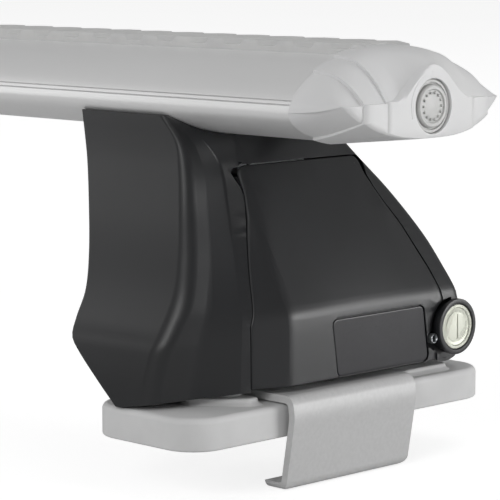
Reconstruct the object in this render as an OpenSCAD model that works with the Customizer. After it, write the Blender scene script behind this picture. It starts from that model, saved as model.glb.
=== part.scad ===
// Crossbar roof rack: an aerodynamic bar carried on two locking feet that clamp to a
// vehicle's door frames. X runs along the bar and is outboard on the right foot, Y runs
// along the vehicle, and Z is up from the lowest point of the clamp hooks.
// The left foot is the right foot turned half round about Z.

/* [Bar] */
// Length of the extruded bar without its end caps
bar_len = 1212; // [1000:2:1500]
// Width of the bar, front to back
bar_w = 82; // [78:1:88]
// Height of the bar above its nose
bar_up = 18; // [17:0.5:20]
// Depth of the bar below its nose
bar_down = 10.5; // [10:0.5:12]
// Height of the bar's underside above the hooks
bar_z = 111; // [110:0.5:112]
// Wall of the extrusion
bar_wall = 2; // [1.6:0.1:2.2]
// Opening of the channels, top and underneath
slot_w = 10; // [9:0.5:11]
// Width inside the channels
channel_w = 20; // [18:0.5:21]
// Depth inside the channels
channel_d = 6; // [5.5:0.1:6.2]
// Width of the rubber strip on top
strip_w = 28; // [24:1:32]
// Height of the rubber strip above its seat
strip_h = 3.6; // [3:0.1:4]
// Width of one slanting ridge on the strip
ridge_w = 8; // [6:0.5:9]
// Distance from one ridge to the next
ridge_pitch = 16; // [12:1:24]

/* [End caps] */
// Length of an end cap beyond the bar
cap_len = 23; // [21:1:26]
// How far its plug reaches into the bar
plug_len = 22; // [14:1:30]
// Diameter of the turning dial in its front
dial_d = 14.2; // [12:0.2:16]
// Width of the ring round the dial
dial_ring = 1.4; // [1:0.1:1.8]

/* [Feet] */
// Distance of each foot's outer side from the bar's end
foot_inset = 8; // [2:1:46]
// Wall of the leg moulding
leg_wall = 3; // [2.6:0.1:3.4]
// Wall of the cover
cover_wall = 2.4; // [2:0.1:2.8]
// Gap round the cover
cover_gap = 0.6; // [0.5:0.1:0.8]
// Diameter of the pin that the cover turns on
pin_d = 3; // [2.4:0.2:3.2]
// Diameter of the lock's face
lock_d = 15.5; // [14.5:0.1:16]
// Diameter of the black ring round the lock
ring_d = 19; // [18.4:0.2:19.6]
// Reach of the lock's cam
cam_reach = 15.5; // [14.5:0.1:16]
// Width of the blank badge plate
badge_w = 44.4; // [40:0.4:44.8]
// Height of the blank badge plate
badge_h = 18.8; // [16:0.2:19]

/* [Pad and clamp] */
// Length of the rubber pad, front to back
pad_l = 142; // [136:1:146]
// Width of the rubber pad
pad_w = 49; // [46:0.5:49]
// Thickness of the rubber pad
pad_t = 10.5; // [9:0.5:10.5]
// Height of the pad's underside above the hooks
pad_z = 17.5; // [17:0.1:17.5]
// Width of the steel clamp
clamp_w = 58; // [50:1:60]
// Thickness of the steel clamp
clamp_t = 2.5; // [2:0.1:2.8]
// Reach of the hook under the door frame
hook_l = 11; // [9:0.5:13]
// How far the clamp moves outboard when it is let go
clamp_travel = 12; // [8:0.5:12]
// Diameter of the tension bolt and the bar bolt
bolt_d = 8; // [7:0.5:8]

/* [Hidden] */
sides = ["right", "left"];
foot_parts = [
    "leg_body", "saddle_pad", "channel_nut", "bar_bolt", "bar_washer", "inner_frame",
    "frame_nut", "hinge_pin", "base_plate", "pad", "cover", "badge_plate", "lock_housing", "lock_core",
    "lock_cam", "rivet", "clamp", "clamp_bolt", "bolt_washer"];
end_parts = ["end_cap", "end_cap_dial"];

$fn = 64;
fit = 0.05;
seam = 0.3;
eps = 0.02;

nose_z = bar_z + bar_down;
bar_top = nose_z + bar_up;
strip_seat = bar_top - 1.1;
lip = bar_wall;
web = bar_wall;
bar_end = bar_len / 2;
foot_x = bar_end - foot_inset;

function unit(v) = v / norm(v);
function ring_points(r, from, to, n) =
    [for (i = [0 : n]) let (a = from + (to - from) * i / n) [r * cos(a), r * sin(a)]];
function rounded_rect(x0, x1, y0, y1, r, n = 6) = concat(
    [for (p = ring_points(r, 180, 270, n)) p + [x0 + r, y0 + r]],
    [for (p = ring_points(r, 270, 360, n)) p + [x1 - r, y0 + r]],
    [for (p = ring_points(r, 0, 90, n)) p + [x1 - r, y1 - r]],
    [for (p = ring_points(r, 90, 180, n)) p + [x0 + r, y1 - r]]);

// Bar section in Y and Z: two superellipse halves that meet at the nose, with a flat
// underneath. A positive grow gives the same section with clearance round it.
belly = 0.35;
function half_section(half, height, blunt, sharp, from, to, n) =
    [for (i = [0 : n]) let (t = from + (to - from) * i / n)
        [half * sign(cos(t)) * pow(abs(cos(t)), 2 / blunt),
         height * sign(sin(t)) * pow(abs(sin(t)), sharp)]];
function bar_points(grow = 0) = let (
        half = bar_w / 2 + grow,
        upper = half_section(half, bar_up + grow, 2.2, 1.2, 0, 180, 28),
        lower = half_section(half, bar_down + belly + grow, 2.6, 1.1, 180, 360, 24))
    concat(
        [for (p = upper) [p[0], nose_z + p[1]]],
        [for (i = [1 : len(lower) - 2]) [lower[i][0], max(bar_z - grow, nose_z + lower[i][1])]]);

module along_x(x0, x1) {
    translate([x0, 0, 0])
        rotate([90, 0, 90])
            linear_extrude(x1 - x0)
                children();
}

module along_y(y0, y1) {
    translate([0, y1, 0])
        rotate([90, 0, 0])
            linear_extrude(y1 - y0)
                children();
}

module rod_x(d, x0, x1) {
    translate([x0, 0, 0])
        rotate([0, 90, 0])
            cylinder(d = d, h = x1 - x0);
}

module rod_y(d, y0, y1) {
    translate([0, y1, 0])
        rotate([90, 0, 0])
            cylinder(d = d, h = y1 - y0);
}

module block(x, y, z) {
    translate([x[0], y[0], z[0]])
        cube([x[1] - x[0], y[1] - y[0], z[1] - z[0]]);
}

module strip_slot_2d(half, z0, z1) {
    translate([-half, z0])
        square([2 * half, z1 - z0]);
}

// Channels: an open slot with a wider space behind its lips
channel_z = [bar_z + lip, bar_z + lip + channel_d];
top_channel_z = [strip_seat - lip - channel_d, strip_seat - lip];
core_z = [channel_z[1] + web, top_channel_z[0] - web];
chamber_y = [channel_w / 2 + web, bar_w / 2 - 5];

module chamber_2d(grow = 0) {
    intersection() {
        polygon(bar_points(-bar_wall - grow));
        union() {
            for (s = [-1, 1])
                translate([s * (chamber_y[0] + chamber_y[1]) / 2, nose_z + 4])
                    square([chamber_y[1] - chamber_y[0] - 2 * grow, bar_w], center = true);
        }
    }
}

module bar_profile_2d() {
    groove = 0.8;
    groove_z = nose_z + 3;
    groove_y = bar_w / 2 - 1;
    difference() {
        polygon(bar_points());
        strip_slot_2d(strip_w / 2 + seam, strip_seat, bar_top + 5);
        strip_slot_2d(slot_w / 2, strip_seat - lip - eps, strip_seat + eps);
        strip_slot_2d(channel_w / 2, top_channel_z[0], top_channel_z[1]);
        strip_slot_2d(slot_w / 2, bar_z - 5, channel_z[0] + eps);
        strip_slot_2d(channel_w / 2, channel_z[0], channel_z[1]);
        strip_slot_2d(channel_w / 2, core_z[0], core_z[1]);
        chamber_2d();
        for (s = [-1, 1])
            translate([s * groove_y, groove_z])
                square([2 * groove, groove], center = true);
    }
}

module crossbar() {
    color("silver")
        along_x(-bar_end, bar_end)
            bar_profile_2d();
}

// Rubber strip: a T-shaped foot in the top channel and slanting ridges on top
strip_base = 1.8;
strip_over = 5;
module top_strip() {
    strip_half = strip_w / 2;
    ridge_count = floor((bar_len - strip_w - ridge_pitch) / ridge_pitch / 2);
    color("gray") {
        along_x(-bar_end - strip_over, bar_end + strip_over)
            strip_slot_2d(strip_half, strip_seat, strip_seat + strip_base);
        along_x(-bar_end, bar_end) {
            strip_slot_2d(slot_w / 2 - seam, strip_seat - lip - 1, strip_seat + eps);
            strip_slot_2d(channel_w / 2 - 2, strip_seat - lip - 3, strip_seat - lip - seam);
        }
        translate([0, 0, strip_seat + strip_base - eps])
            linear_extrude(strip_h - strip_base + eps)
                intersection() {
                    square([bar_len + 2 * strip_over, strip_w], center = true);
                    for (i = [-ridge_count : ridge_count])
                        translate([i * ridge_pitch, 0])
                            polygon([
                                [-ridge_w / 2 - strip_half, -strip_half],
                                [ridge_w / 2 - strip_half, -strip_half],
                                [ridge_w / 2 + strip_half, strip_half],
                                [-ridge_w / 2 + strip_half, strip_half]]);
                }
    }
}

// End cap: three nested hoods, each one the overlap of a section, a plan and a side view
cap_tip = bar_end + cap_len;
dial_z = nose_z + 1.4;
dial_ring_d = dial_d + 2 * dial_ring;
dial_depth = 5;

function plan_points(half, reach, belly_y, n = 12) = concat(
    [[bar_end, -half]],
    [for (i = [0 : n]) let (y = -half + 2 * half * i / n, k = abs(y) / half)
        [bar_end + reach - belly_y * pow(k, 2) - 3 * pow(k, 14), y]],
    [[bar_end, half]]);

function side_points(top, tip_top, tip_low, reach, n = 8) = concat(
    [[bar_end, bar_z - 1], [bar_end, top]],
    [for (i = [0 : n]) let (t = i / n)
        [bar_end + reach * t, top - (top - tip_top) * pow(t, 2.4)]],
    [[bar_end + reach + 1, tip_top - 1], [bar_end + reach + 1, tip_low]],
    [for (i = [0 : n]) let (t = 1 - i / n)
        [bar_end + reach * t, bar_z + (tip_low - bar_z) * pow(t, 2.4)]]);

module hood(half, raise, reach, plan_belly, tip_top) {
    intersection() {
        along_x(bar_end, cap_tip + 2)
            polygon(bar_points(raise));
        translate([0, 0, bar_z - 5])
            linear_extrude(bar_w)
                polygon(plan_points(half, reach, plan_belly));
        along_y(-bar_w, bar_w)
            polygon(side_points(bar_top + raise + 1, tip_top, dial_z - dial_ring_d / 2 - 1.5, reach));
    }
}

module end_cap() {
    middle = dial_z + dial_ring_d / 2;
    color("lightgray")
        difference() {
            union() {
                hood(bar_w / 2, 0, cap_len - 3.5, 0.6, middle - 5);
                hood(30, 1, cap_len - 1.4, 1, middle - 1);
                hood(21, 2, cap_len, 1.5, middle + 3);
                along_x(bar_end - plug_len, bar_end + 1)
                    chamber_2d(seam);
            }
            translate([0, 0, dial_z])
                rod_x(dial_ring_d + 2 * fit, cap_tip - dial_depth, cap_tip + 3);
            along_x(bar_end - 1, bar_end + strip_over + seam)
                strip_slot_2d(strip_w / 2 + seam, strip_seat, bar_top + 5);
        }
}

module end_cap_dial() {
    face = cap_tip - 1.2;
    lobe_r = dial_d * 0.26;
    color("gray")
        translate([0, 0, dial_z])
            difference() {
                union() {
                    rod_x(dial_ring_d, cap_tip - dial_depth, face);
                    rod_x(dial_d, face - eps, face + 0.8);
                }
                for (a = [0 : 60 : 300])
                    translate([0, lobe_r * cos(a), lobe_r * sin(a)])
                        rod_x(dial_d * 0.17, face - 0.6, face + 3);
                translate([0, 0, (dial_d + dial_ring) / 2])
                    rod_x(1, face - 0.5, face + 3);
            }
}

// Leg outline. Each row gives a height and where the leg's upright edges cross it: the
// inboard edge, the nose of the front flank, the hollow behind it, the front crease set
// back from the flat outboard face, and that face's front and rear ends.
leg_rows = [
    // z, inboard x, y, nose x, y, hollow, crease back, y, face front, rear
    [28, -40, 70, -27, -66, 2.2, 6.6, -40.8, -24.5, 63.5],
    [36, -49, 70, -26.5, -66, 2.2, 6.6, -40.8, -24.5, 63],
    [44, -58.8, 69, -25, -65, 2, 6.6, -40.6, -24.5, 61.3],
    [48, -62.8, 68, -24, -64, 1.8, 6.6, -40.4, -24.5, 60],
    [53, -65.4, 64, -23.4, -61.5, 1.5, 6.6, -40.2, -24.4, 58.6],
    [62, -65.2, 60, -22.5, -57, 0.9, 6.6, -38, -24, 56.6],
    [74, -68, 56, -25.5, -51.5, 0.4, 6.6, -33.2, -23.2, 53.3],
    [89, -76.4, 48.5, -31, -46, 0.3, 6.6, -27.6, -21.8, 45.5],
    [102, -82.3, 43.8, -35.5, -42.2, 0.3, 5.6, -24.6, -18.6, 36],
    [110, -85.2, 42.2, -40.5, -40.6, 0.3, 2.4, -30.5, -18, 30.5],
    [118, -88.3, 40.6, -49, -40.7, 0.3, 2, -38, -18, 26]];
leg_levels = [28, 32, 36, 40, 44, 48, 50.5, 53, 56, 59, 62, 68, 74, 81, 88, 95, 102, 106, 110, 114, 118];
inner_levels = [27, 36, 44, 50.5, 54, 58, 62, 74, 88];
leg_radii = [1, 5, 12, 3, 8, 4, 4];
leg_steps = [2, 3, 3, 2, 3, 3, 3];
inner_steps = [1, 2, 1, 1, 2, 2, 2];
face_x = -6;
face_slope = 0.593;
crease_z = 56;
crease_blend = 2;
leg_top = leg_levels[len(leg_levels) - 1];

function face_at(z) = face_x - face_slope * (z - crease_z + norm([z - crease_z, crease_blend])) / 2;
function slope_of(t, i, k) =
    let (a = max(i - 1, 0), b = min(i + 1, len(t) - 1)) (t[b][k] - t[a][k]) / (t[b][0] - t[a][0]);
function row_below(t, z) = max([for (i = [0 : len(t) - 2]) t[i][0] <= z ? i : 0]);
function smooth_at(t, z, k) = let (
        i = row_below(t, z),
        h = t[i + 1][0] - t[i][0],
        s = (z - t[i][0]) / h,
        m0 = slope_of(t, i, k) * h,
        m1 = slope_of(t, i + 1, k) * h)
    (2 * pow(s, 3) - 3 * pow(s, 2) + 1) * t[i][k] + (pow(s, 3) - 2 * pow(s, 2) + s) * m0
    + (3 * pow(s, 2) - 2 * pow(s, 3)) * t[i + 1][k] + (pow(s, 3) - pow(s, 2)) * m1;

function leg_corners(z) = let (
        r = [for (k = [0 : 9]) smooth_at(leg_rows, z, k)],
        x = face_at(z),
        nose = [r[3], r[4]],
        crease = [x - r[6], r[7]])
    [[r[1], -r[2]], nose, (nose + crease) / 2 - r[5] * outward(nose, crease), crease,
        [x, r[8]], [x, r[9]], [r[1], r[2]]];

function outward(a, b) = let (d = unit(b - a)) [d[1], -d[0]];
function inset(pts, w) = let (n = len(pts)) [for (i = [0 : n - 1])
    let (n1 = outward(pts[(i + n - 1) % n], pts[i]), n2 = outward(pts[i], pts[(i + 1) % n]))
        pts[i] - w * (n1 + n2) / (1 + n1 * n2)];

function round_corner(a, p, b, r, n) = let (
        d1 = unit(a - p),
        d2 = unit(b - p),
        half = acos(d1 * d2) / 2,
        reach = min(r / tan(half), 0.48 * min(norm(a - p), norm(b - p))),
        centre = p + unit(d1 + d2) * reach / cos(half),
        start = p + d1 * reach - centre,
        turn = (180 - 2 * half) * sign(cross(p - a, b - p)))
    [for (i = [0 : n]) let (t = turn * i / n)
        centre + [start[0] * cos(t) - start[1] * sin(t), start[0] * sin(t) + start[1] * cos(t)]];

function leg_ring(z, wall) = let (c = inset(leg_corners(z), wall), n = len(c))
    [for (i = [0 : n - 1])
        for (p = round_corner(c[(i + n - 1) % n], c[i], c[(i + 1) % n],
                max(leg_radii[i] - wall, 0.8), wall > 0 ? inner_steps[i] : leg_steps[i]))
            [p[0], p[1], z]];

module loft(rings) {
    n = len(rings[0]);
    last = len(rings) - 1;
    points = [for (r = rings, p = r) p];
    sides = [for (i = [0 : last - 1], j = [0 : n - 1])
        let (a = i * n + j, b = i * n + (j + 1) % n) each [[a, a + n, b + n], [a, b + n, b]]];
    ends = [[for (j = [0 : n - 1]) j], [for (j = [n - 1 : -1 : 0]) last * n + j]];
    polyhedron(points, concat(sides, ends));
}

module leg_solid(top) {
    loft([for (z = leg_levels) if (z <= top) leg_ring(z, 0)]);
}

module leg_cavity(wall, top) {
    loft([for (z = concat(inner_levels, [top])) leg_ring(z, wall)]);
}

// Underside of the leg, which slopes down inboard
sole_out = 33;
sole_in = 28.3;
sole_in_x = -38;
function sole_at(x) = sole_out + (sole_out - sole_in) * (x - face_x) / (face_x - sole_in_x);
module below_sole() {
    along_y(-90, 90)
        polygon([[-100, 0], [20, 0], [20, sole_at(20)], [sole_in_x, sole_in], [-100, sole_in]]);
}

// Hinge of the cover, just behind the face at the cover's top, between ears on the frame
hinge_x = -36.5;
hinge_z = 93.5;

// Lock place, and the notch that the cover keeps clear of it
lock_y = 53.2;
lock_z = 43.9;
lock_face = face_x + 3;
ring_t = 1.6;
neck_d = 16.6;
notch_r = ring_d / 2 + 0.4;
rivet_y = 43.4;
rivet_z = 40.7;
rivet_d = 3.4;
rivet_gap = 0.4;
rivet_shank_d = 2.4;
pocket_x = face_x - 3;
barrel_d = 13;
core_d = 9.6;
face_t = 2.4;
barrel_end = -22;
lock_back = -24;

// Cover outline, seen from outboard
cover_top = 101.3;
cover_rear = 45.6;
cover_path = [
    [-37.1, 20, 0.5], [cover_rear, 20, 0.5], [cover_rear, 36, 0.5], [48.6, 36, 0.5], [48.6, 52, 1],
    [46.3, 64, 20], [41.6, 79, 30], [33.6, 93.5, 8], [33.6, cover_top, 2.2], [-17.8, cover_top, 4.5],
    [-31.9, 67, 40], [-37.1, 53, 6]];
function cover_points(grow) = let (c = inset([for (p = cover_path) [p[0], p[1]]], -grow), n = len(c))
    [for (i = [0 : n - 1])
        each round_corner(c[(i + n - 1) % n], c[i], c[(i + 1) % n],
            cover_path[i][2] + grow, cover_path[i][2] > 2 ? 4 : 1)];

// The cover rises as it swings out, so its notches reach down below what stands in them
swing_rise = (face_x - hinge_x) / (hinge_z - lock_z);
swing_spare = 0.3;
rivet_front = lock_face - ring_t - seam;
function swing_drop(front) = swing_rise * (front - face_x + cover_wall) + swing_spare;

// Space in front of the inboard wall, so that the cover is cut from the face alone
zone_back = [-39.5, -22];
module face_zone() {
    along_y(-90, 90)
        polygon([
            [10, 10], [10, bar_z], [zone_back[0], bar_z], [zone_back[0], 96], [zone_back[1], 62],
            [zone_back[1], 10]]);
}

module cover_prism(grow = 0) {
    intersection() {
        along_x(-40, 10)
            cover_2d(grow);
        face_zone();
    }
}

module notch_2d(r, drop) {
    circle(r = r);
    translate([0, -drop])
        circle(r = r);
    translate([-r, -drop])
        square([2 * r, drop + eps]);
}

module cover_2d(grow = 0) {
    difference() {
        polygon(cover_points(grow));
        translate([lock_y, lock_z])
            notch_2d(notch_r - grow, swing_drop(lock_face) - (grow > 0 ? swing_drop(face_x) : 0));
        translate([rivet_y, rivet_z])
            notch_2d(rivet_d / 2 + rivet_gap - grow, grow > 0 ? 0 : swing_drop(rivet_front));
    }
}

// Ears on the frame and lugs on the cover, which the hinge pin joins
ear_r = 3.8;
lug_r = 3.4;
lug_t = 3;
face_normal = unit([1, face_slope]);
hinge_deep = ([face_at(hinge_z), hinge_z] - [hinge_x, hinge_z]) * face_normal;
sweep_r = norm([face_at(cover_top) - hinge_x, cover_top - hinge_z]) + cover_gap;

// Tension bolt and what it passes through, from outboard to inboard
bolt_z = 50;
head_d = 13;
head_l = 8;
washer_t = 1.6;
tab_x = -31.6;
head_x = tab_x + washer_t + head_l;
web_x = [-47, -44.5];
nut_af = 13;
nut_t = 6.5;
shank_end = -55.5;

// Bar bolt and the frame's top
bar_bolt_x = -58;
frame_top = 101;
plate_t = 3;
frame_front = -43.3;
frame_y = 17;
side_t = 2.5;
base_z = 33.5;
base_t = 2.5;
saddle_z = bar_z - 2.3;
saddle_x = [-84, -46];
saddle_y = 15;

// Leg moulding: a lofted shell with a window for the cover, room for the cover's top edge
// to swing back, and a boss for the lock
boss_r = 12.6;
module lock_boss_2d() {
    intersection() {
        difference() {
            translate([lock_y, lock_z])
                square(2 * boss_r, center = true);
            cover_2d(cover_gap);
        }
        translate([lock_y, lock_z])
            circle(r = boss_r);
    }
}

swing_y = [-20.8, 35];
swing_corners = [
    [[-17, 85], [-17, 101.9], [-19.5, 101.9], [-20.9, 100], [-21.6, 97.4], [-21.9, 95.2], [-22.6, 92.4],
        [-23.8, 89], [-25.2, 85]],
    [[33, 80], [41.8, 80], [38.4, 86.4], [36.6, 91], [35.1, 95.4], [34.9, 98.6], [34.3, 101.9], [33, 101.9]]];
module leg_body() {
    color("#2e3033")
        difference() {
            leg_solid(leg_top);
            difference() {
                union() {
                    leg_cavity(leg_wall, frame_top);
                    cover_prism(cover_gap);
                }
                along_x(pocket_x - leg_wall, face_x + 1)
                    lock_boss_2d();
            }
            along_x(-100, 20)
                polygon(bar_points(seam));
            block(saddle_x - [seam, -seam], [-saddle_y - seam, saddle_y + seam], [saddle_z, 130]);
            below_sole();
            translate([bar_bolt_x, 0, 90])
                cylinder(d = bolt_d + 0.6, h = 40);
            intersection() {
                translate([hinge_x, 0, hinge_z])
                    rod_y(2 * sweep_r, swing_y[0], swing_y[1]);
                block([-60, face_at(cover_top) - 1.2], [-90, 90], [hinge_z, cover_top + 10]);
            }
            for (corner = swing_corners)
                along_x(zone_back[0], 10)
                    polygon(corner);
            translate([0, lock_y, lock_z]) {
                rod_x(barrel_d + 2 * fit, -40, 10);
                rod_x(neck_d + 2 * seam, pocket_x, 10);
            }
            intersection() {
                translate([0, lock_y, lock_z])
                    rod_x(2 * notch_r, pocket_x, 10);
                block([pocket_x - 1, 10], [lock_y - 20, lock_y], [20, 80]);
            }
            translate([0, rivet_y, rivet_z]) {
                rod_x(rivet_d + 2 * rivet_gap, pocket_x, 10);
                rod_x(rivet_shank_d + 2 * fit, -20, 10);
            }
        }
}

// Rubber between the leg and the bar
module saddle_pad() {
    color("dimgray")
        difference() {
            block(saddle_x, [-saddle_y, saddle_y], [saddle_z, bar_z]);
            translate([bar_bolt_x, 0, saddle_z - 1])
                cylinder(d = bolt_d + 1, h = 10);
        }
}

nut_plate = [24, channel_w - 1.2, 5];
module channel_nut() {
    color("silver")
        translate([bar_bolt_x, 0, channel_z[0]])
            difference() {
                translate([-nut_plate[0] / 2, -nut_plate[1] / 2, 0])
                    cube(nut_plate);
                translate([0, 0, -1])
                    cylinder(d = bolt_d + 2 * fit, h = nut_plate[2] + 2);
            }
}

bar_head_t = 5.3;
module bar_bolt() {
    under = frame_top - plate_t - washer_t;
    color("silver")
        translate([bar_bolt_x, 0, 0]) {
            translate([0, 0, under - bar_head_t])
                cylinder(d = nut_af / cos(30), h = bar_head_t, $fn = 6);
            translate([0, 0, under - eps])
                cylinder(d = bolt_d, h = channel_z[0] + nut_plate[2] - under);
        }
}

module bar_washer() {
    color("silver")
        translate([bar_bolt_x, 0, frame_top - plate_t - washer_t])
            difference() {
                cylinder(d = 2 * bolt_d, h = washer_t);
                translate([0, 0, -1])
                    cylinder(d = bolt_d + 0.4, h = washer_t + 2);
            }
}

// Folded steel frame inside the leg, which ties the pad and the clamp to the bar
module inner_frame() {
    side = [
        [-40, base_z + base_t], [-16, base_z + base_t], [-16, 46], [frame_front, 90], [frame_front, frame_top],
        [-74, frame_top], [-74, 95], [-50, 58], [-50, 46]];
    color("silver")
        difference() {
            union() {
                for (y = [-frame_y - side_t, frame_y]) {
                    along_y(y, y + side_t)
                        polygon(side);
                    block([-50, hinge_x], [y, y + side_t], [hinge_z - ear_r, hinge_z + ear_r]);
                    translate([hinge_x, 0, hinge_z])
                        rod_y(2 * ear_r, y, y + side_t);
                }
                block([-74, frame_front], [-frame_y - eps, frame_y + eps], [frame_top - plate_t, frame_top]);
                block(web_x, [-frame_y - eps, frame_y + eps], [42, 60]);
                for (s = [-1, 1])
                    translate([0, s * (frame_y + side_t + 4.5), 0])
                        block([-38, -18], [-5, 5], [base_z + base_t, base_z + base_t + side_t]);
            }
            translate([bar_bolt_x, 0, 90])
                cylinder(d = bolt_d + 0.4, h = 40);
            translate([0, 0, bolt_z])
                rod_x(bolt_d + 0.4, -60, -30);
            translate([hinge_x, 0, hinge_z])
                rod_y(pin_d + 2 * fit, -30, 30);
        }
}

module hinge_pin() {
    reach = frame_y + side_t + 1;
    color("silver")
        translate([hinge_x, 0, hinge_z])
            rod_y(pin_d, -reach, reach);
}

module frame_nut() {
    color("silver")
        translate([0, 0, bolt_z])
            difference() {
                translate([web_x[1], 0, 0])
                    rotate([0, 90, 0])
                        cylinder(d = nut_af / cos(30), h = nut_t, $fn = 6);
                rod_x(bolt_d + 2 * fit, -60, -30);
            }
}

tab_half = 12;
module base_plate() {
    outline = [
        [-39, -57], [-27, -47], [-15.5, -36], [-11.5, -20], [-11.5, 36], [-15, 39.5], [-15, 56], [-39, 59]];
    color("silver")
        translate([0, 0, base_z])
            linear_extrude(base_t)
                difference() {
                    polygon(outline);
                    translate([tab_x - clamp_t - 1, -tab_half - 1])
                        square([clamp_t + clamp_travel + 2, 2 * tab_half + 2]);
                }
}

// Rubber pad with two raised seats under the base plate
pad_x = -29.6;
pad_y = 2;
pad_corner = 12;
module pad() {
    top = pad_z + pad_t;
    color("darkgray") {
        translate([0, 0, pad_z])
            linear_extrude(pad_t)
                polygon(rounded_rect(pad_x - pad_w / 2, pad_x + pad_w / 2,
                    pad_y - pad_l / 2, pad_y + pad_l / 2, pad_corner, 8));
        translate([0, 0, top - eps]) {
            linear_extrude(base_z - top + eps) {
                polygon([[-33, -53], [-33, -33], [-16, -33], [-16, -37]]);
                polygon(rounded_rect(-33, -15, 33, 56, 3, 4));
            }
            linear_extrude(2.2 + eps)
                polygon(rounded_rect(-33, -8, 32, 60, 5, 4));
            linear_extrude(2.2 + eps)
                polygon([[-33, -56], [-33, -32], [-9, -32], [-9, -36]]);
        }
    }
}

// Cover: the leg's face inside the outline, with hinge lugs, a catch and a badge place
badge_mid = [18.1, 42.9];
badge_lean = 2.8;
badge_depth = 1;
badge_gap = 0.2;
badge_corner = 2;
module badge_2d(grow) {
    half = [badge_w, badge_h] / 2;
    corners = [
        [-half[0] + badge_lean / 2, -half[1]], [half[0] + badge_lean / 2, -half[1]],
        [half[0] - badge_lean / 2, half[1]], [-half[0] - badge_lean / 2, half[1]]];
    c = inset([for (p = corners) badge_mid + p], -grow);
    polygon([for (i = [0 : 3])
        each round_corner(c[(i + 3) % 4], c[i], c[(i + 1) % 4], badge_corner + grow, 4)]);
}

lug_y = frame_y - lug_t - 1;
module hinge_lug(y) {
    across = [-face_normal[1], face_normal[0]] * lug_r;
    root = face_normal * (hinge_deep - cover_wall / 2);
    translate([hinge_x, 0, hinge_z]) {
        along_y(y, y + lug_t)
            polygon([-across, root - across, root + across, across]);
        rod_y(2 * lug_r, y, y + lug_t);
    }
}

catch_y = [lock_y - cam_reach - 3, lock_y - cam_reach + 2.3];
catch_z = [41, 50];
catch_t = 2.4;
catch_x = lock_back + 0.6;
module cover() {
    color("#2e3033")
        difference() {
            union() {
                difference() {
                    intersection() {
                        leg_solid(leg_top - 8);
                        cover_prism();
                    }
                    leg_cavity(cover_wall, leg_top - 5);
                }
                for (y = [-lug_y - lug_t, lug_y])
                    hinge_lug(y);
                block([catch_x, face_x - 1], [catch_y[0], catch_y[0] + 2], catch_z);
                block([catch_x, catch_x + catch_t], catch_y, catch_z);
            }
            translate([hinge_x, 0, hinge_z])
                rod_y(pin_d + 2 * fit, -30, 30);
            below_sole();
            along_x(face_x - badge_depth, 10)
                badge_2d(badge_gap);
        }
}

module badge_plate() {
    color("black")
        along_x(face_x - badge_depth, face_x - 0.3)
            badge_2d(0);
}

// Lock: ring, neck and barrel, a turning core with a key slot, and the cam that holds the cover
module lock_housing() {
    color("#2e3033")
        translate([0, lock_y, lock_z])
            difference() {
                union() {
                    rod_x(ring_d, lock_face - ring_t, lock_face);
                    rod_x(neck_d, pocket_x, lock_face - ring_t + eps);
                    rod_x(barrel_d, barrel_end, pocket_x + eps);
                }
                rod_x(lock_d + 2 * fit, lock_face - face_t, lock_face + 1);
                rod_x(core_d + 2 * fit, barrel_end - 1, lock_face - face_t + eps);
            }
}

cam_pin_d = 6;
module lock_core() {
    slot = [1.8, 8.4, 6];
    color("lightgray")
        translate([0, lock_y, lock_z])
            difference() {
                union() {
                    rod_x(lock_d, lock_face - face_t, lock_face - 0.4);
                    rod_x(core_d, lock_back, lock_face - face_t + eps);
                    rod_x(cam_pin_d, lock_back - 4, lock_back + eps);
                }
                block([lock_face - slot[2], lock_face + 1], [-slot[0] / 2, slot[0] / 2], [-slot[1] / 2, slot[1] / 2]);
            }
}

module lock_cam() {
    cam_w = 8;
    color("silver")
        translate([0, lock_y, lock_z])
            difference() {
                along_x(lock_back - 2, lock_back)
                    polygon(concat(
                        ring_points(cam_w / 2, 180, 360, 10),
                        [[cam_w / 2, 2], [0.5, cam_reach], [-cam_w / 2 + 1, cam_reach]]));
                rod_x(cam_pin_d + 2 * fit, lock_back - 3, lock_back + 1);
            }
}

module rivet() {
    color("gray")
        translate([0, rivet_y, rivet_z])
            difference() {
                union() {
                    rod_x(rivet_d, pocket_x, rivet_front);
                    rod_x(rivet_shank_d, pocket_x - leg_wall - 1, pocket_x + eps);
                }
                rod_x(1.6, -20, 5);
            }
}

// Clamp: one folded strip of steel, as a path with round bends in X and Z
function sheet(path, radii, t) = let (
        n = len(path),
        mid = [for (i = [0 : n - 1])
            each i == 0 || i == n - 1 ? [path[i]]
                : round_corner(path[i - 1], path[i], path[i + 1], radii[i], 5)],
        m = len(mid),
        normals = [for (i = [0 : m - 1])
            outward(mid[max(i - 1, 0)], mid[min(i + 1, m - 1)])])
    concat(
        [for (i = [0 : m - 1]) mid[i] + normals[i] * t / 2],
        [for (i = [m - 1 : -1 : 0]) mid[i] - normals[i] * t / 2]);

flange_z = pad_z + pad_t + 0.5 + clamp_t / 2;
clamp_face = -0.3 - clamp_t / 2;
hook_x = -5.4;
clamp_corner = 3;
module clamp() {
    tab_mid = tab_x - clamp_t / 2;
    hook_z = clamp_t / 2;
    path = [
        [hook_x - hook_l + 2.6, hook_z], [hook_x, hook_z], [clamp_face, 24], [clamp_face - 1, flange_z],
        [tab_mid, flange_z], [tab_mid, bolt_z + 8]];
    radii = [0, 2.6, 12, 2.4, 2, 0];
    color("darkgray")
        difference() {
            intersection() {
                along_y(-clamp_w / 2, clamp_w / 2)
                    polygon(sheet(path, radii, clamp_t));
                along_x(hook_x - 2 * clamp_w, clamp_w)
                    polygon(rounded_rect(-clamp_w / 2, clamp_w / 2, 0, 2 * clamp_w, clamp_corner));
            }
            for (s = [-1, 1])
                translate([0, s * (tab_half + clamp_w / 2), 0])
                    block([tab_x - 10, tab_x + 6], [-clamp_w / 2, clamp_w / 2], [flange_z - 5, bolt_z + 20]);
            translate([0, 0, bolt_z])
                rod_x(bolt_d + 0.4, tab_x - 10, tab_x + 5);
        }
}

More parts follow.
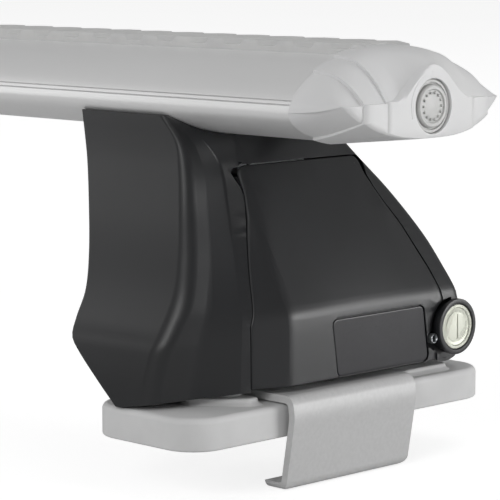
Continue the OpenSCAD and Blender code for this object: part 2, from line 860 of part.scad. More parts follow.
module clamp_bolt() {
    color("silver")
        translate([0, 0, bolt_z])
            difference() {
                union() {
                    rod_x(head_d, head_x - head_l, head_x);
                    rod_x(bolt_d, shank_end, head_x - head_l + eps);
                }
                translate([head_x - 4, 0, 0])
                    rotate([0, 90, 0])
                        cylinder(d = 6 / cos(30), h = 10, $fn = 6);
            }
}

module bolt_washer() {
    color("silver")
        translate([0, 0, bolt_z])
            difference() {
                rod_x(2 * bolt_d, tab_x, tab_x + washer_t);
                rod_x(bolt_d + 0.4, tab_x - 1, tab_x + washer_t + 1);
            }
}

module at_end(side) {
    rotate([0, 0, side == "left" ? 180 : 0])
        children();
}

module at_foot(side) {
    at_end(side)
        translate([foot_x, 0, 0])
            children();
}

crossbar();
top_strip();
for (side = sides) {
    at_end(side) end_cap();
    at_end(side) end_cap_dial();
    at_foot(side) leg_body();
    at_foot(side) saddle_pad();
    at_foot(side) channel_nut();
    at_foot(side) bar_bolt();
    at_foot(side) bar_washer();
    at_foot(side) inner_frame();
    at_foot(side) frame_nut();
    at_foot(side) hinge_pin();
    at_foot(side) base_plate();
    at_foot(side) pad();
    at_foot(side) cover();
    at_foot(side) badge_plate();
    at_foot(side) lock_housing();
    at_foot(side) lock_core();
    at_foot(side) lock_cam();
    at_foot(side) rivet();
    at_foot(side) clamp();
    at_foot(side) clamp_bolt();
    at_foot(side) bolt_washer();
}
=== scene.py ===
import math

import bmesh
import bpy
import numpy as np
from mathutils import Matrix, Vector
from mathutils.geometry import delaunay_2d_cdt


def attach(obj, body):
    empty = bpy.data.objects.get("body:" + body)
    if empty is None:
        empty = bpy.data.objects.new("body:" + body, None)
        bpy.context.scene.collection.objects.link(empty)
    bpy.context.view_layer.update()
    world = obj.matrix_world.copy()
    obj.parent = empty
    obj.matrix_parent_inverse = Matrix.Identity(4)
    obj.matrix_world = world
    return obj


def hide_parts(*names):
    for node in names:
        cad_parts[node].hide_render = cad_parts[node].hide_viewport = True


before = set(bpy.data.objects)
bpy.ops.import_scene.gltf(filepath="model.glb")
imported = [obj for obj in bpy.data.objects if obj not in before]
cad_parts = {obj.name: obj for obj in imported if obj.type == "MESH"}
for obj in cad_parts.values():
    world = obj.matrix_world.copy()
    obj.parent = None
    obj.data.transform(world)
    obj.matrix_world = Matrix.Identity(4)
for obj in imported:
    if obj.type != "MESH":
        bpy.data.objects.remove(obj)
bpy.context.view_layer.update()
print("frame loaded,", len(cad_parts), "nodes")

# Sizes that several pieces share, in millimetres; a foot's own origin is its outboard side
rack = {
    "barEnd": 606.0,
    "footX": 598.0,
    "barZ": 111.0,
    "noseZ": 121.5,
    "barHalf": 41.0,
    "barUp": 18.0,
    "barDown": 10.5,
    "stripSeat": 138.4,
    "stripHalf": 14.0,
    "dialZ": 122.9,
    "lockY": 53.2,
    "lockZ": 43.9,
    "faceX": -6.0,
    "seam": 0.3,
    "coverGap": 0.6,
}
millimetre = 0.001
sides = ("right", "left")


# Mesh helpers
def meshObject(name, verts, faces):
    mesh = bpy.data.meshes.new(name)
    mesh.from_pydata([Vector(v) * millimetre for v in verts], [], faces)
    work = bmesh.new()
    work.from_mesh(mesh)
    bmesh.ops.remove_doubles(work, verts=work.verts, dist=1e-6)
    bmesh.ops.recalc_face_normals(work, faces=work.faces)
    work.to_mesh(mesh)
    work.free()
    obj = bpy.data.objects.new(name, mesh)
    bpy.context.scene.collection.objects.link(obj)
    return obj


# Points on rings of equal count, joined by quads and closed at both ends
def loft(rings, closed=True):
    count = len(rings[0])
    verts = [tuple(p) for ring in rings for p in ring]
    faces = []
    for i in range(len(rings) - 1):
        for j in range(count):
            a, b = i * count + j, i * count + (j + 1) % count
            faces.append((a, b, b + count, a + count))
    if closed:
        faces.append(tuple(range(count))[::-1])
        faces.append(tuple(range((len(rings) - 1) * count, len(rings) * count)))
    return verts, faces


def place(axis, along, u, v):
    return {"x": (along, u, v), "y": (u, along, v), "z": (u, v, along)}[axis]


# Flat outline, with holes if it has any, pulled along one axis
def slab(loops, axis, start, end):
    if not isinstance(loops[0][0], (list, tuple, np.ndarray)):
        loops = [loops]
    flat, edges = [], []
    for loop in loops:
        first = len(flat)
        flat += [Vector((float(p[0]), float(p[1]))) for p in loop]
        edges += [(first + i, first + (i + 1) % len(loop)) for i in range(len(loop))]
    points, _, tris, _, _, _ = delaunay_2d_cdt(flat, edges, [], 4, 1e-5)
    verts = [place(axis, end, *p) for p in points] + [place(axis, start, *p) for p in points]
    n = len(points)
    faces = [tuple(t) for t in tris] + [tuple(n + i for i in reversed(t)) for t in tris]
    for loop in loops:
        first = len(verts)
        for p in loop:
            verts += [place(axis, start, *p), place(axis, end, *p)]
        m = len(loop)
        for i in range(m):
            a, b = first + 2 * i, first + 2 * ((i + 1) % m)
            faces.append((a, b, b + 1, a + 1))
    return verts, faces


def circle(radius, count=64, cy=0.0, cz=0.0, start=0.0, end=360.0):
    full = abs(end - start) >= 360
    steps = count if full else count + 1
    out = []
    for i in range(steps):
        a = math.radians(start + (end - start) * i / count)
        out.append((cy + radius * math.cos(a), cz + radius * math.sin(a)))
    return out


# Profile of (x, radius) turned about a line along X
def turned(profile, cy, cz, count=72, hollow=False):
    rings = []
    for x, r in profile:
        rings.append([(x, cy + max(r, 0.001) * math.cos(math.tau * j / count),
                       cz + max(r, 0.001) * math.sin(math.tau * j / count)) for j in range(count)])
    verts, faces = loft(rings)
    if hollow:  # the last ring joins the first, with no end faces
        last = (len(rings) - 1) * count
        faces = [f for f in faces if len(f) < count]
        faces += [(last + j, last + (j + 1) % count, (j + 1) % count, j) for j in range(count)]
    return verts, faces


def block(x, y, z):
    verts = [(a, b, c) for a in x for b in y for c in z]
    return verts, [(0, 1, 3, 2), (4, 6, 7, 5), (0, 4, 5, 1), (2, 3, 7, 6), (0, 2, 6, 4), (1, 5, 7, 3)]


def joined(*parts):
    verts, faces = [], []
    for v, f in parts:
        base = len(verts)
        verts += list(v)
        faces += [tuple(base + i for i in face) for face in f]
    return verts, faces


def bake(obj):
    graph = bpy.context.evaluated_depsgraph_get()
    mesh = bpy.data.meshes.new_from_object(obj.evaluated_get(graph))
    old = obj.data
    obj.modifiers.clear()
    obj.data = mesh
    bpy.data.meshes.remove(old)


def cut(obj, shape, operation="DIFFERENCE"):
    tool = meshObject("cutter", *shape)
    mod = obj.modifiers.new("cut", "BOOLEAN")
    mod.object = tool
    mod.operation = operation
    mod.solver = "EXACT"
    bake(obj)
    old = tool.data
    bpy.data.objects.remove(tool)
    bpy.data.meshes.remove(old)


# Takes the second object's mesh into the first and removes the second
def merge(target, extra):
    work = bmesh.new()
    work.from_mesh(target.data)
    work.from_mesh(extra.data)
    work.to_mesh(target.data)
    work.free()
    old = extra.data
    bpy.data.objects.remove(extra)
    bpy.data.meshes.remove(old)


def finishEdges(obj, width=0.3, segments=2, angle=35, sharp=38):
    if width:
        mod = obj.modifiers.new("bevel", "BEVEL")
        mod.width = width * millimetre
        mod.segments = segments
        mod.limit_method = "ANGLE"
        mod.angle_limit = math.radians(angle)
        mod.miter_outer = "MITER_ARC"
        mod.use_clamp_overlap = True
        bake(obj)
    for face in obj.data.polygons:
        face.use_smooth = True
    obj.data.set_sharp_from_angle(angle=math.radians(sharp))
    mod = obj.modifiers.new("normals", "WEIGHTED_NORMAL")
    mod.keep_sharp = True
    bake(obj)


# Plane curves
def unit(v):
    v = np.asarray(v, float)
    return v / np.linalg.norm(v)


def outward(a, b):
    d = unit(np.subtract(b, a))
    return np.array([d[1], -d[0]])


def inset(points, width):
    n = len(points)
    out = []
    for i in range(n):
        n1 = outward(points[i - 1], points[i])
        n2 = outward(points[i], points[(i + 1) % n])
        out.append(np.asarray(points[i], float) - width * (n1 + n2) / (1 + n1.dot(n2)))
    return out


def roundCorner(a, p, b, radius, steps):
    a, p, b = np.asarray(a, float), np.asarray(p, float), np.asarray(b, float)
    d1, d2 = unit(a - p), unit(b - p)
    half = math.acos(max(-1.0, min(1.0, float(d1.dot(d2))))) / 2
    if math.pi / 2 - half < 1e-5:
        return [tuple(p)]
    reach = min(radius / math.tan(half), 0.48 * min(np.linalg.norm(a - p), np.linalg.norm(b - p)))
    centre = p + unit(d1 + d2) * reach / math.cos(half)
    start = p + d1 * reach - centre
    side = (p - a)[0] * (b - p)[1] - (p - a)[1] * (b - p)[0]
    turn = (math.pi - 2 * half) * (1 if side > 0 else -1)
    out = []
    for i in range(steps + 1):
        t = turn * i / steps
        out.append((centre[0] + start[0] * math.cos(t) - start[1] * math.sin(t),
                    centre[1] + start[0] * math.sin(t) + start[1] * math.cos(t)))
    return out


def roundedLoop(corners, radii, steps=6):
    out = []
    n = len(corners)
    for i in range(n):
        r = radii[i] if isinstance(radii, (list, tuple)) else radii
        if r:
            out += roundCorner(corners[i - 1], corners[i], corners[(i + 1) % n], r, steps)
        else:
            out.append(tuple(corners[i]))
    return out


def roundedRect(u0, u1, v0, v1, radius, steps=8):
    return roundedLoop([(u0, v0), (u1, v0), (u1, v1), (u0, v1)], radius, steps)


# Distance from each point to a closed outline
def edgeDistance(points, outline):
    a = np.asarray(outline, float)
    b = np.roll(a, -1, axis=0)
    d = b - a
    length = np.maximum((d ** 2).sum(1), 1e-12)
    best = np.full(len(points), 1e9)
    for i in range(len(a)):
        t = np.clip(((points - a[i]) @ d[i]) / length[i], 0, 1)
        best = np.minimum(best, np.linalg.norm(points - (a[i] + t[:, None] * d[i]), axis=1))
    return best


def insideLoop(points, outline):
    a = np.asarray(outline, float)
    b = np.roll(a, -1, axis=0)
    inside = np.zeros(len(points), bool)
    for i in range(len(a)):
        crosses = (a[i][1] > points[:, 1]) != (b[i][1] > points[:, 1])
        at = (b[i][0] - a[i][0]) * (points[:, 1] - a[i][1]) / (b[i][1] - a[i][1] + 1e-12) + a[i][0]
        inside ^= crosses & (points[:, 0] < at)
    return inside


# Long straight runs need points of their own, or their edge wouldn't round off
def divided(loop, step):
    out = []
    for i, p in enumerate(loop):
        q = loop[(i + 1) % len(loop)]
        parts = max(int(math.dist(p, q) / step), 1)
        out += [(p[0] + (q[0] - p[0]) * k / parts, p[1] + (q[1] - p[1]) * k / parts) for k in range(parts)]
    return out


# Plate seen from outboard: outline in (y, z), front and back given as x for every point,
# with layers of points beside the outline and the inner loops so that edges round off
def plate(outline, grid, layers, front, back, loops=()):
    outline = divided(outline, 1.5)
    loops = [divided(loop, 1.5) for loop in loops]
    flat = [tuple(p) for p in outline]
    edges = [(i, (i + 1) % len(flat)) for i in range(len(flat))]
    extra = []
    for k, loop in enumerate([outline] + loops):
        pts = np.asarray(loop, float)
        normal = np.array([outward(pts[i - 1], pts[(i + 1) % len(pts)]) for i in range(len(pts))])
        for depth in layers if k == 0 else (0,):
            ring = pts - depth * normal
            if depth:
                keep = (edgeDistance(ring, outline) > 0.93 * depth) & insideLoop(ring, outline)
                ring = ring[keep]
            elif k == 0:
                continue
            if k:
                first = len(flat)
                flat += [tuple(p) for p in ring]
                edges += [(first + i, first + (i + 1) % len(ring)) for i in range(len(ring))]
            else:
                extra += [tuple(p) for p in ring]
    grid = np.asarray(grid, float)
    keep = insideLoop(grid, outline) & (edgeDistance(grid, outline) > max(layers) + 0.5)
    for loop in loops:
        keep &= edgeDistance(grid, loop) > 0.4
    extra += [tuple(p) for p in grid[keep]]
    flat += extra
    points, _, tris, _, _, _ = delaunay_2d_cdt([Vector(p) for p in flat], edges, [], 1, 1e-5)
    yz = np.array([tuple(p) for p in points])
    n = len(yz)
    frontX, backX = front(yz), back(yz)
    verts = [(frontX[i], *yz[i]) for i in range(n)] + [(backX[i], *yz[i]) for i in range(n)]
    faces = [tuple(t) for t in tris] + [tuple(n + i for i in reversed(t)) for t in tris]
    m = len(outline)
    for i in range(m):
        j = (i + 1) % m
        faces.append((n + i, n + j, j, i))
    return verts, faces


# How far an edge of this radius has fallen away at each distance from the outline
def edgeFall(distance, radius):
    d = np.clip(distance, 0, radius)
    return radius - np.sqrt(np.maximum(radius ** 2 - (radius - d) ** 2, 0))


# Placing and binding
def moveToFoot(obj, side):
    turn = Matrix.Rotation(math.pi if side == "left" else 0, 4, "Z")
    obj.data.transform(turn @ Matrix.Translation((rack["footX"] * millimetre, 0, 0)))


def moveToEnd(obj, side):
    if side == "left":
        obj.data.transform(Matrix.Rotation(math.pi, 4, "Z"))


# One template becomes the piece on the right and, turned half round, on the left
def bothSides(template, name, body, node, material, move=moveToFoot):
    for side in sides:
        piece = template.copy()
        piece.data = template.data.copy()
        piece.name = f"{side}_{name}"
        bpy.context.scene.collection.objects.link(piece)
        move(piece, side)
        piece.data.materials.clear()
        piece.data.materials.append(material)
        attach(piece, body if body == "bar" else f"{side}_{body}")
        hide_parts(f"{side}_{node}")
    old = template.data
    bpy.data.objects.remove(template)
    bpy.data.meshes.remove(old)


# Bevelled copy of a CAD node, for plain hardware
def hardware(node, body, material, width=0.25):
    for side in sides:
        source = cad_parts[f"{side}_{node}"]
        piece = bpy.data.objects.new(f"{side}_{node}_finished", source.data.copy())
        bpy.context.scene.collection.objects.link(piece)
        work = bmesh.new()
        work.from_mesh(piece.data)
        bmesh.ops.remove_doubles(work, verts=work.verts, dist=2e-6)
        bmesh.ops.dissolve_limit(work, angle_limit=math.radians(0.6), verts=work.verts, edges=work.edges)
        work.to_mesh(piece.data)
        work.free()
        finishEdges(piece, width, 2, 30, 34)
        piece.data.materials.clear()
        piece.data.materials.append(material)
        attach(piece, f"{side}_{body}")
        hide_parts(f"{side}_{node}")


# Materials
def toLinear(hexText):
    out = []
    for i in (1, 3, 5):
        c = int(hexText[i:i + 2], 16) / 255
        out.append(c / 12.92 if c <= 0.04045 else ((c + 0.055) / 1.055) ** 2.4)
    return (*out, 1.0)


# Noise and wave scales are per metre, so a pattern of this size in millimetres needs:
def perMm(size):
    return 1000.0 / size


def newMaterial(name):
    material = bpy.data.materials.new(name)
    material.use_nodes = True
    material.node_tree.nodes.clear()
    return material, material.node_tree


# Adds one node: settings go on the node, inputs are constants or sockets to link from
def addNode(tree, kind, inputs=None, **settings):
    node = tree.nodes.new(kind)
    for key, value in settings.items():
        setattr(node, key, value)
    for key, value in (inputs or {}).items():
        if isinstance(value, bpy.types.NodeSocket):
            tree.links.new(value, node.inputs[key])
        else:
            node.inputs[key].default_value = value
    return node


def objectPlace(tree, stretch=(1, 1, 1)):
    coords = addNode(tree, "ShaderNodeTexCoord")
    settings = {"Vector": coords.outputs["Object"], "Scale": stretch}
    return addNode(tree, "ShaderNodeMapping", settings).outputs[0]


def noise(tree, where, size, detail=3.0, rough=0.5):
    settings = {"Vector": where, "Scale": perMm(size), "Detail": detail, "Roughness": rough}
    return addNode(tree, "ShaderNodeTexNoise", settings).outputs["Fac"]


def spread(tree, value, low, high, fromLow=0.3, fromHigh=0.7):
    return addNode(tree, "ShaderNodeMapRange", {"Value": value, "From Min": fromLow, "From Max": fromHigh,
                                                "To Min": low, "To Max": high}).outputs[0]


def twoTones(tree, value, first, second, low=0.3, high=0.7):
    ramp = addNode(tree, "ShaderNodeValToRGB", {"Fac": value})
    ramp.color_ramp.elements[0].position = low
    ramp.color_ramp.elements[1].position = high
    ramp.color_ramp.elements[0].color = toLinear(first)
    ramp.color_ramp.elements[1].color = toLinear(second)
    return ramp.outputs["Color"]


def relief(tree, height, depth, strength=1.0, below=None):
    inputs = {"Height": height, "Distance": depth * millimetre, "Strength": strength}
    if below is not None:
        inputs["Normal"] = below
    return addNode(tree, "ShaderNodeBump", inputs).outputs["Normal"]


def surface(tree, inputs):
    shader = addNode(tree, "ShaderNodeBsdfPrincipled", inputs)
    addNode(tree, "ShaderNodeOutputMaterial", {"Surface": shader.outputs["BSDF"]})


# Extruded and satin anodised: fine die lines along the bar keep its highlight long and soft
def anodisedAluminium():
    material, tree = newMaterial("satin_anodised_extrusion")
    dieLines = noise(tree, objectPlace(tree, (0.004, 1, 1)), 0.5, 4.0, 0.6)
    etch = noise(tree, objectPlace(tree), 0.12, 2.0)
    clouds = noise(tree, objectPlace(tree, (0.2, 1, 1)), 30)
    surface(tree, {
        "Base Color": twoTones(tree, clouds, "#E6E6E6", "#ECECEC"),
        "Metallic": 0.35,
        "Roughness": spread(tree, dieLines, 0.33, 0.44),
        "Normal": relief(tree, dieLines, 0.006, 0.7, relief(tree, etch, 0.004, 0.5))})
    return material


# Extruded EPDM, dusted pale: matt, with a slightly uneven skin
def extrudedRubber():
    material, tree = newMaterial("extruded_epdm_strip")
    skin = noise(tree, objectPlace(tree), 0.35, 5.0, 0.65)
    bloom = noise(tree, objectPlace(tree), 9, 3.0)
    surface(tree, {
        "Base Color": twoTones(tree, bloom, "#CACACA", "#D2D2D1"),
        "Roughness": spread(tree, skin, 0.62, 0.8),
        "Specular IOR Level": 0.35,
        "Normal": relief(tree, skin, 0.03, 0.6)})
    return material


# Injection-moulded ABS with a spark-eroded grain, which keeps the hoods from looking wet
def grainedAbs():
    material, tree = newMaterial("moulded_abs_cap")
    grain = noise(tree, objectPlace(tree), 0.28, 3.0, 0.6)
    flow = noise(tree, objectPlace(tree), 22, 2.0)
    surface(tree, {
        "Base Color": twoTones(tree, flow, "#DADADB", "#E0E0E0"),
        "Roughness": spread(tree, grain, 0.4, 0.52),
        "Normal": relief(tree, grain, 0.02, 0.5)})
    return material


# Moulded ABS with a finer, glossier face, for the turning dial
def smoothAbs():
    material, tree = newMaterial("moulded_abs_dial")
    grain = noise(tree, objectPlace(tree), 0.15, 2.0)
    flow = noise(tree, objectPlace(tree), 5, 2.0)
    surface(tree, {
        "Base Color": twoTones(tree, flow, "#B8B8B7", "#C0C0BE"),
        "Roughness": spread(tree, grain, 0.28, 0.4),
        "Normal": relief(tree, grain, 0.01, 0.5)})
    return material


# Glass-filled nylon, satin black: the fine eroded grain spreads light over each flank
def glassNylon():
    material, tree = newMaterial("glass_filled_nylon")
    grain = noise(tree, objectPlace(tree), 0.22, 4.0, 0.65)
    pores = addNode(tree, "ShaderNodeTexVoronoi",
                    {"Vector": objectPlace(tree), "Scale": perMm(0.6)}).outputs["Distance"]
    flow = noise(tree, objectPlace(tree, (1, 1, 0.4)), 26, 3.0)
    surface(tree, {
        "Base Color": twoTones(tree, flow, "#121315", "#17181B"),
        "Roughness": spread(tree, grain, 0.36, 0.48),
        "Specular IOR Level": 0.6,
        "Normal": relief(tree, grain, 0.02, 0.55, relief(tree, pores, 0.012, 0.3))})
    return material


# The same nylon with a smoother face, for the insert where a badge would go
def smoothNylon():
    material, tree = newMaterial("polished_nylon_insert")
    grain = noise(tree, objectPlace(tree), 0.18, 2.0)
    flow = noise(tree, objectPlace(tree), 12, 2.0)
    surface(tree, {
        "Base Color": twoTones(tree, flow, "#1B1A1E", "#201F24"),
        "Roughness": spread(tree, grain, 0.26, 0.36),
        "Normal": relief(tree, grain, 0.008, 0.5)})
    return material


# Compression-moulded rubber: matt, a little mottled, softens every edge of the pad
def mouldedRubber():
    material, tree = newMaterial("moulded_pad_rubber")
    skin = noise(tree, objectPlace(tree), 0.4, 4.0, 0.6)
    mottle = noise(tree, objectPlace(tree), 14, 3.0)
    surface(tree, {
        "Base Color": twoTones(tree, mottle, "#D2D2D2", "#DADADA"),
        "Roughness": spread(tree, skin, 0.55, 0.7),
        "Specular IOR Level": 0.4,
        "Normal": relief(tree, skin, 0.025, 0.5)})
    return material


# Bright zinc plating on pressed and turned steel: a broken, slightly blue shine
def zincPlate():
    material, tree = newMaterial("bright_zinc_plate")
    crystals = noise(tree, objectPlace(tree), 1.6, 4.0, 0.7)
    marks = noise(tree, objectPlace(tree, (1, 1, 0.08)), 0.3, 3.0)
    surface(tree, {
        "Base Color": twoTones(tree, crystals, "#A9ADB0", "#BFC2C4"),
        "Metallic": 1.0,
        "Roughness": spread(tree, crystals, 0.3, 0.46),
        "Normal": relief(tree, marks, 0.006, 0.6)})
    return material


# Powder-coated steel: the low orange peel gives the bent clamp its soft, wavy highlight
def powderCoat():
    material, tree = newMaterial("powder_coated_steel")
    peel = noise(tree, objectPlace(tree), 1.3, 2.0)
    fine = noise(tree, objectPlace(tree), 0.2, 2.0)
    surface(tree, {
        "Base Color": twoTones(tree, peel, "#C4C4C4", "#CACACA"),
        "Roughness": spread(tree, fine, 0.34, 0.46),
        "Normal": relief(tree, peel, 0.035, 0.5, relief(tree, fine, 0.006, 0.4))})
    return material


# Die-cast lock face under worn chrome, with the warm grey-green cast it shows in daylight
def chromedZinc():
    material, tree = newMaterial("chromed_lock_face")
    haze = noise(tree, objectPlace(tree), 7, 1.0)
    turning = noise(tree, objectPlace(tree, (1, 1, 0.06)), 0.3, 2.0)
    surface(tree, {
        "Base Color": twoTones(tree, haze, "#CCCEC1", "#D4D6CA"),
        "Metallic": 0.8,
        "Roughness": spread(tree, haze, 0.24, 0.32),
        "Normal": relief(tree, turning, 0.0015, 0.5)})
    return material


finishes = {
    "anodised_bar": anodisedAluminium(),
    "strip_rubber": extrudedRubber(),
    "cap_plastic": grainedAbs(),
    "dial_plastic": smoothAbs(),
    "leg_plastic": glassNylon(),
    "badge_plastic": smoothNylon(),
    "pad_rubber": mouldedRubber(),
    "plated_steel": zincPlate(),
    "clamp_steel": powderCoat(),
    "lock_chrome": chromedZinc(),
}
print("materials:", len(finishes))


# Bar
bar = {
    "blunt": (2.2, 2.6),
    "sharp": (1.2, 1.1),
    "belly": 0.35,
    "wall": 2.0,
    "slot": 5.0,
    "channel": (10.0, 6.0),
    "grooves": (2.5, 3.7),
    "groove": (0.45, 0.6),
}


def halfSection(half, height, blunt, sharp, start, end, count):
    out = []
    for i in range(count + 1):
        t = math.radians(start + (end - start) * i / count)
        c, s = math.cos(t), math.sin(t)
        out.append((half * math.copysign(abs(c) ** (2 / blunt), c) if abs(c) > 1e-9 else 0.0,
                    height * math.copysign(abs(s) ** sharp, s) if abs(s) > 1e-9 else 0.0))
    return out


# Outline of the bar from nose to nose over the top, then back along the underside
def barSection(grow=0.0, upper=72, lower=48):
    half = rack["barHalf"] + grow
    down = rack["barDown"] + bar["belly"] + grow
    top = halfSection(half, rack["barUp"] + grow, bar["blunt"][0], bar["sharp"][0], 0, 180, upper)
    low = halfSection(half, down, bar["blunt"][1], bar["sharp"][1], 180, 360, lower)
    return ([(y, rack["noseZ"] + z) for y, z in top],
            [(y, max(rack["barZ"] - grow, rack["noseZ"] + z)) for y, z in low[1:-1]])


# Height of the bar's upper surface at a distance from its middle
def barTop(y, grow=0.0):
    half = rack["barHalf"] + grow
    c = min(abs(y) / half, 1.0) ** (bar["blunt"][0] / 2)
    return rack["noseZ"] + (rack["barUp"] + grow) * max(1 - c * c, 0) ** (bar["sharp"][0] / 2)


def barLow(y, grow=0.0):
    half = rack["barHalf"] + grow
    c = min(abs(y) / half, 1.0) ** (bar["blunt"][1] / 2)
    drop = (rack["barDown"] + bar["belly"] + grow) * max(1 - c * c, 0) ** (bar["sharp"][1] / 2)
    return max(rack["barZ"] - grow, rack["noseZ"] - drop)


# Thin V grooves pressed into the outline where it crosses each height
def grooved(points):
    half, depth = bar["groove"][0] / 2, bar["groove"][1]
    out = []
    n = len(points)
    for i in range(n):
        a, b = points[i], points[(i + 1) % n]
        out.append(a)
        marks = []
        for g in bar["grooves"]:
            for z, deep in ((-half, 0), (-half * 0.5, 1), (half * 0.5, 1), (half, 0)):
                marks.append((rack["noseZ"] + g + z, deep))
        marks.sort(reverse=a[1] > b[1])
        for z, deep in marks:
            if abs(b[1] - a[1]) > 1e-9 and min(a[1], b[1]) < z <= max(a[1], b[1]):
                y = a[0] + (b[0] - a[0]) * (z - a[1]) / (b[1] - a[1])
                out.append((y - math.copysign(deep * depth, y), z))
    return out


def buildBar():
    top, low = barSection()
    seatHalf = rack["stripHalf"] + rack["seam"]
    seat, slot = rack["stripSeat"], bar["slot"]
    wide, deep = bar["channel"]
    lip = bar["wall"]
    rightTop = [p for p in top if p[0] > seatHalf]
    leftTop = [p for p in top if p[0] < -seatHalf]
    trough = [(seatHalf, barTop(seatHalf)), (seatHalf, seat), (slot, seat), (slot, seat - lip),
              (wide, seat - lip), (wide, seat - lip - deep), (-wide, seat - lip - deep), (-wide, seat - lip),
              (-slot, seat - lip), (-slot, seat), (-seatHalf, seat), (-seatHalf, barTop(seatHalf))]
    under = rack["barZ"]
    rightLow = [p for p in low if p[0] > slot]
    leftLow = [p for p in low if p[0] < -slot]
    mouth = [(-slot, under), (-slot, under + lip), (-wide, under + lip), (-wide, under + lip + deep),
             (wide, under + lip + deep), (wide, under + lip), (slot, under + lip), (slot, under)]
    outer = grooved(rightTop + trough + leftTop + leftLow + mouth + rightLow)
    coreLow = under + 2 * lip + deep
    coreTop = seat - 2 * lip - deep
    core = [(-wide, coreLow), (wide, coreLow), (wide, coreTop), (-wide, coreTop)]
    chambers = []
    inner = [p for part in barSection(-bar["wall"]) for p in part]
    for s in (-1, 1):
        near, far = wide + lip, rack["barHalf"] - 5
        loop = [p for p in inner if near < s * p[0] < far]
        upper = sorted([p for p in loop if p[1] > rack["noseZ"]], key=lambda p: s * p[0])
        lower = sorted([p for p in loop if p[1] <= rack["noseZ"]], key=lambda p: -s * p[0])
        chambers.append(upper + lower)
    loops = [outer, core] + chambers
    obj = meshObject("crossbar_extrusion", *slab(loops, "x", -rack["barEnd"], rack["barEnd"]))
    finishEdges(obj, 0, sharp=24)
    obj.data.materials.append(finishes["anodised_bar"])
    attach(obj, "bar")
    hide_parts("crossbar")


buildBar()
print("bar done")


# Rubber strip
strip = {
    "pitch": 16.0,
    "ridge": 8.0,
    "base": 1.8,
    "top": 3.55,
    "shoulder": 1.7,
    "edge": 0.7,
    "over": 5.0,
    "taper": 4.0,
    "taperLow": 0.45,
    "stem": (8.0, 2.3, 5.0),  # half width, depth of the neck, depth of the foot
}


def ridgeHeight(u, y):
    phase = abs(((u + strip["pitch"] / 2) % strip["pitch"]) - strip["pitch"] / 2)
    run = (strip["ridge"] / 2 + strip["shoulder"] / 2 - phase) / strip["shoulder"]
    rise = min(max(run, 0.0), 1.0)
    rise = rise * rise * (3 - 2 * rise)
    side = min(max((rack["stripHalf"] - abs(y)) / strip["edge"], 0.0), 1.0)
    side = math.sqrt(max(1 - (1 - side) ** 2, 0))
    return strip["base"] * (0.75 + 0.25 * side) + (strip["top"] - strip["base"]) * rise * side


# Beyond the bar the strip runs out in a rounded tail that lies in the cap
def tailWidth(x):
    past = max(abs(x) - rack["barEnd"], 0) / (strip["over"] + 0.3)
    return math.sqrt(1 - past * past)


def buildStrip():
    half, end, seat = rack["stripHalf"], rack["barEnd"] + strip["over"], rack["stripSeat"]
    edge = strip["edge"]
    rows = [-half, -half + edge * 0.12, -half + edge * 0.4, -half + edge]
    rows = rows + list(np.linspace(-half + edge + 3, half - edge - 3, 6)) + [-y for y in reversed(rows)]
    flat = strip["ridge"] / 2 - strip["shoulder"] / 2
    slope = [flat + strip["shoulder"] * k for k in (0, 0.2, 0.4, 0.6, 0.8, 1)]
    offsets = sorted([-s for s in slope] + slope)
    reach = int((end + half) // strip["pitch"]) + 1
    columns = [k * strip["pitch"] + o for k in range(-reach, reach + 1) for o in offsets]
    verts, faces = [], []
    for u in columns:
        for y in rows:
            x = min(max(u + y, -end), end)
            fall = min((end - abs(x)) / strip["taper"], 1.0) * (1 - strip["taperLow"]) + strip["taperLow"]
            verts.append((x, y * tailWidth(x), seat + ridgeHeight(u, y) * fall))
    n = len(rows)
    for i in range(len(columns) - 1):
        for j in range(n - 1):
            a = i * n + j
            faces.append((a, a + n, a + n + 1, a + 1))
    base = len(verts)
    for u in columns:
        for y in (rows[0], rows[-1]):
            x = min(max(u + y, -end), end)
            verts.append((x, y * tailWidth(x), seat))
    for i in range(len(columns) - 1):
        a, b = i * n, base + 2 * i
        faces.append((b, b + 2, a + n, a))
        a, b = a + n - 1, b + 1
        faces.append((a, a + n, b + 2, b))
        faces.append((base + 2 * i, base + 2 * i + 1, base + 2 * i + 3, base + 2 * i + 2))
    last = len(columns) - 1
    faces.append((base, *range(n), base + 1))
    faces.append((base + 2 * last + 1, *reversed(range(last * n, last * n + n)), base + 2 * last))
    slot = bar["slot"] - 0.3
    foot, neck, deep = strip["stem"]
    stem = slab([(-slot, seat + 0.1), (-slot, seat - neck), (-foot, seat - neck), (-foot, seat - deep),
                 (foot, seat - deep), (foot, seat - neck), (slot, seat - neck), (slot, seat + 0.1)],
                "x", -rack["barEnd"], rack["barEnd"])
    obj = meshObject("strip_rubber", *joined((verts, faces), stem))
    work = bmesh.new()
    work.from_mesh(obj.data)
    bmesh.ops.dissolve_degenerate(work, dist=1e-6, edges=work.edges)
    work.to_mesh(obj.data)
    work.free()
    finishEdges(obj, 0, sharp=44)
    obj.data.materials.append(finishes["strip_rubber"])
    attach(obj, "bar")
    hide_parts("top_strip")


buildStrip()
print("strip done")


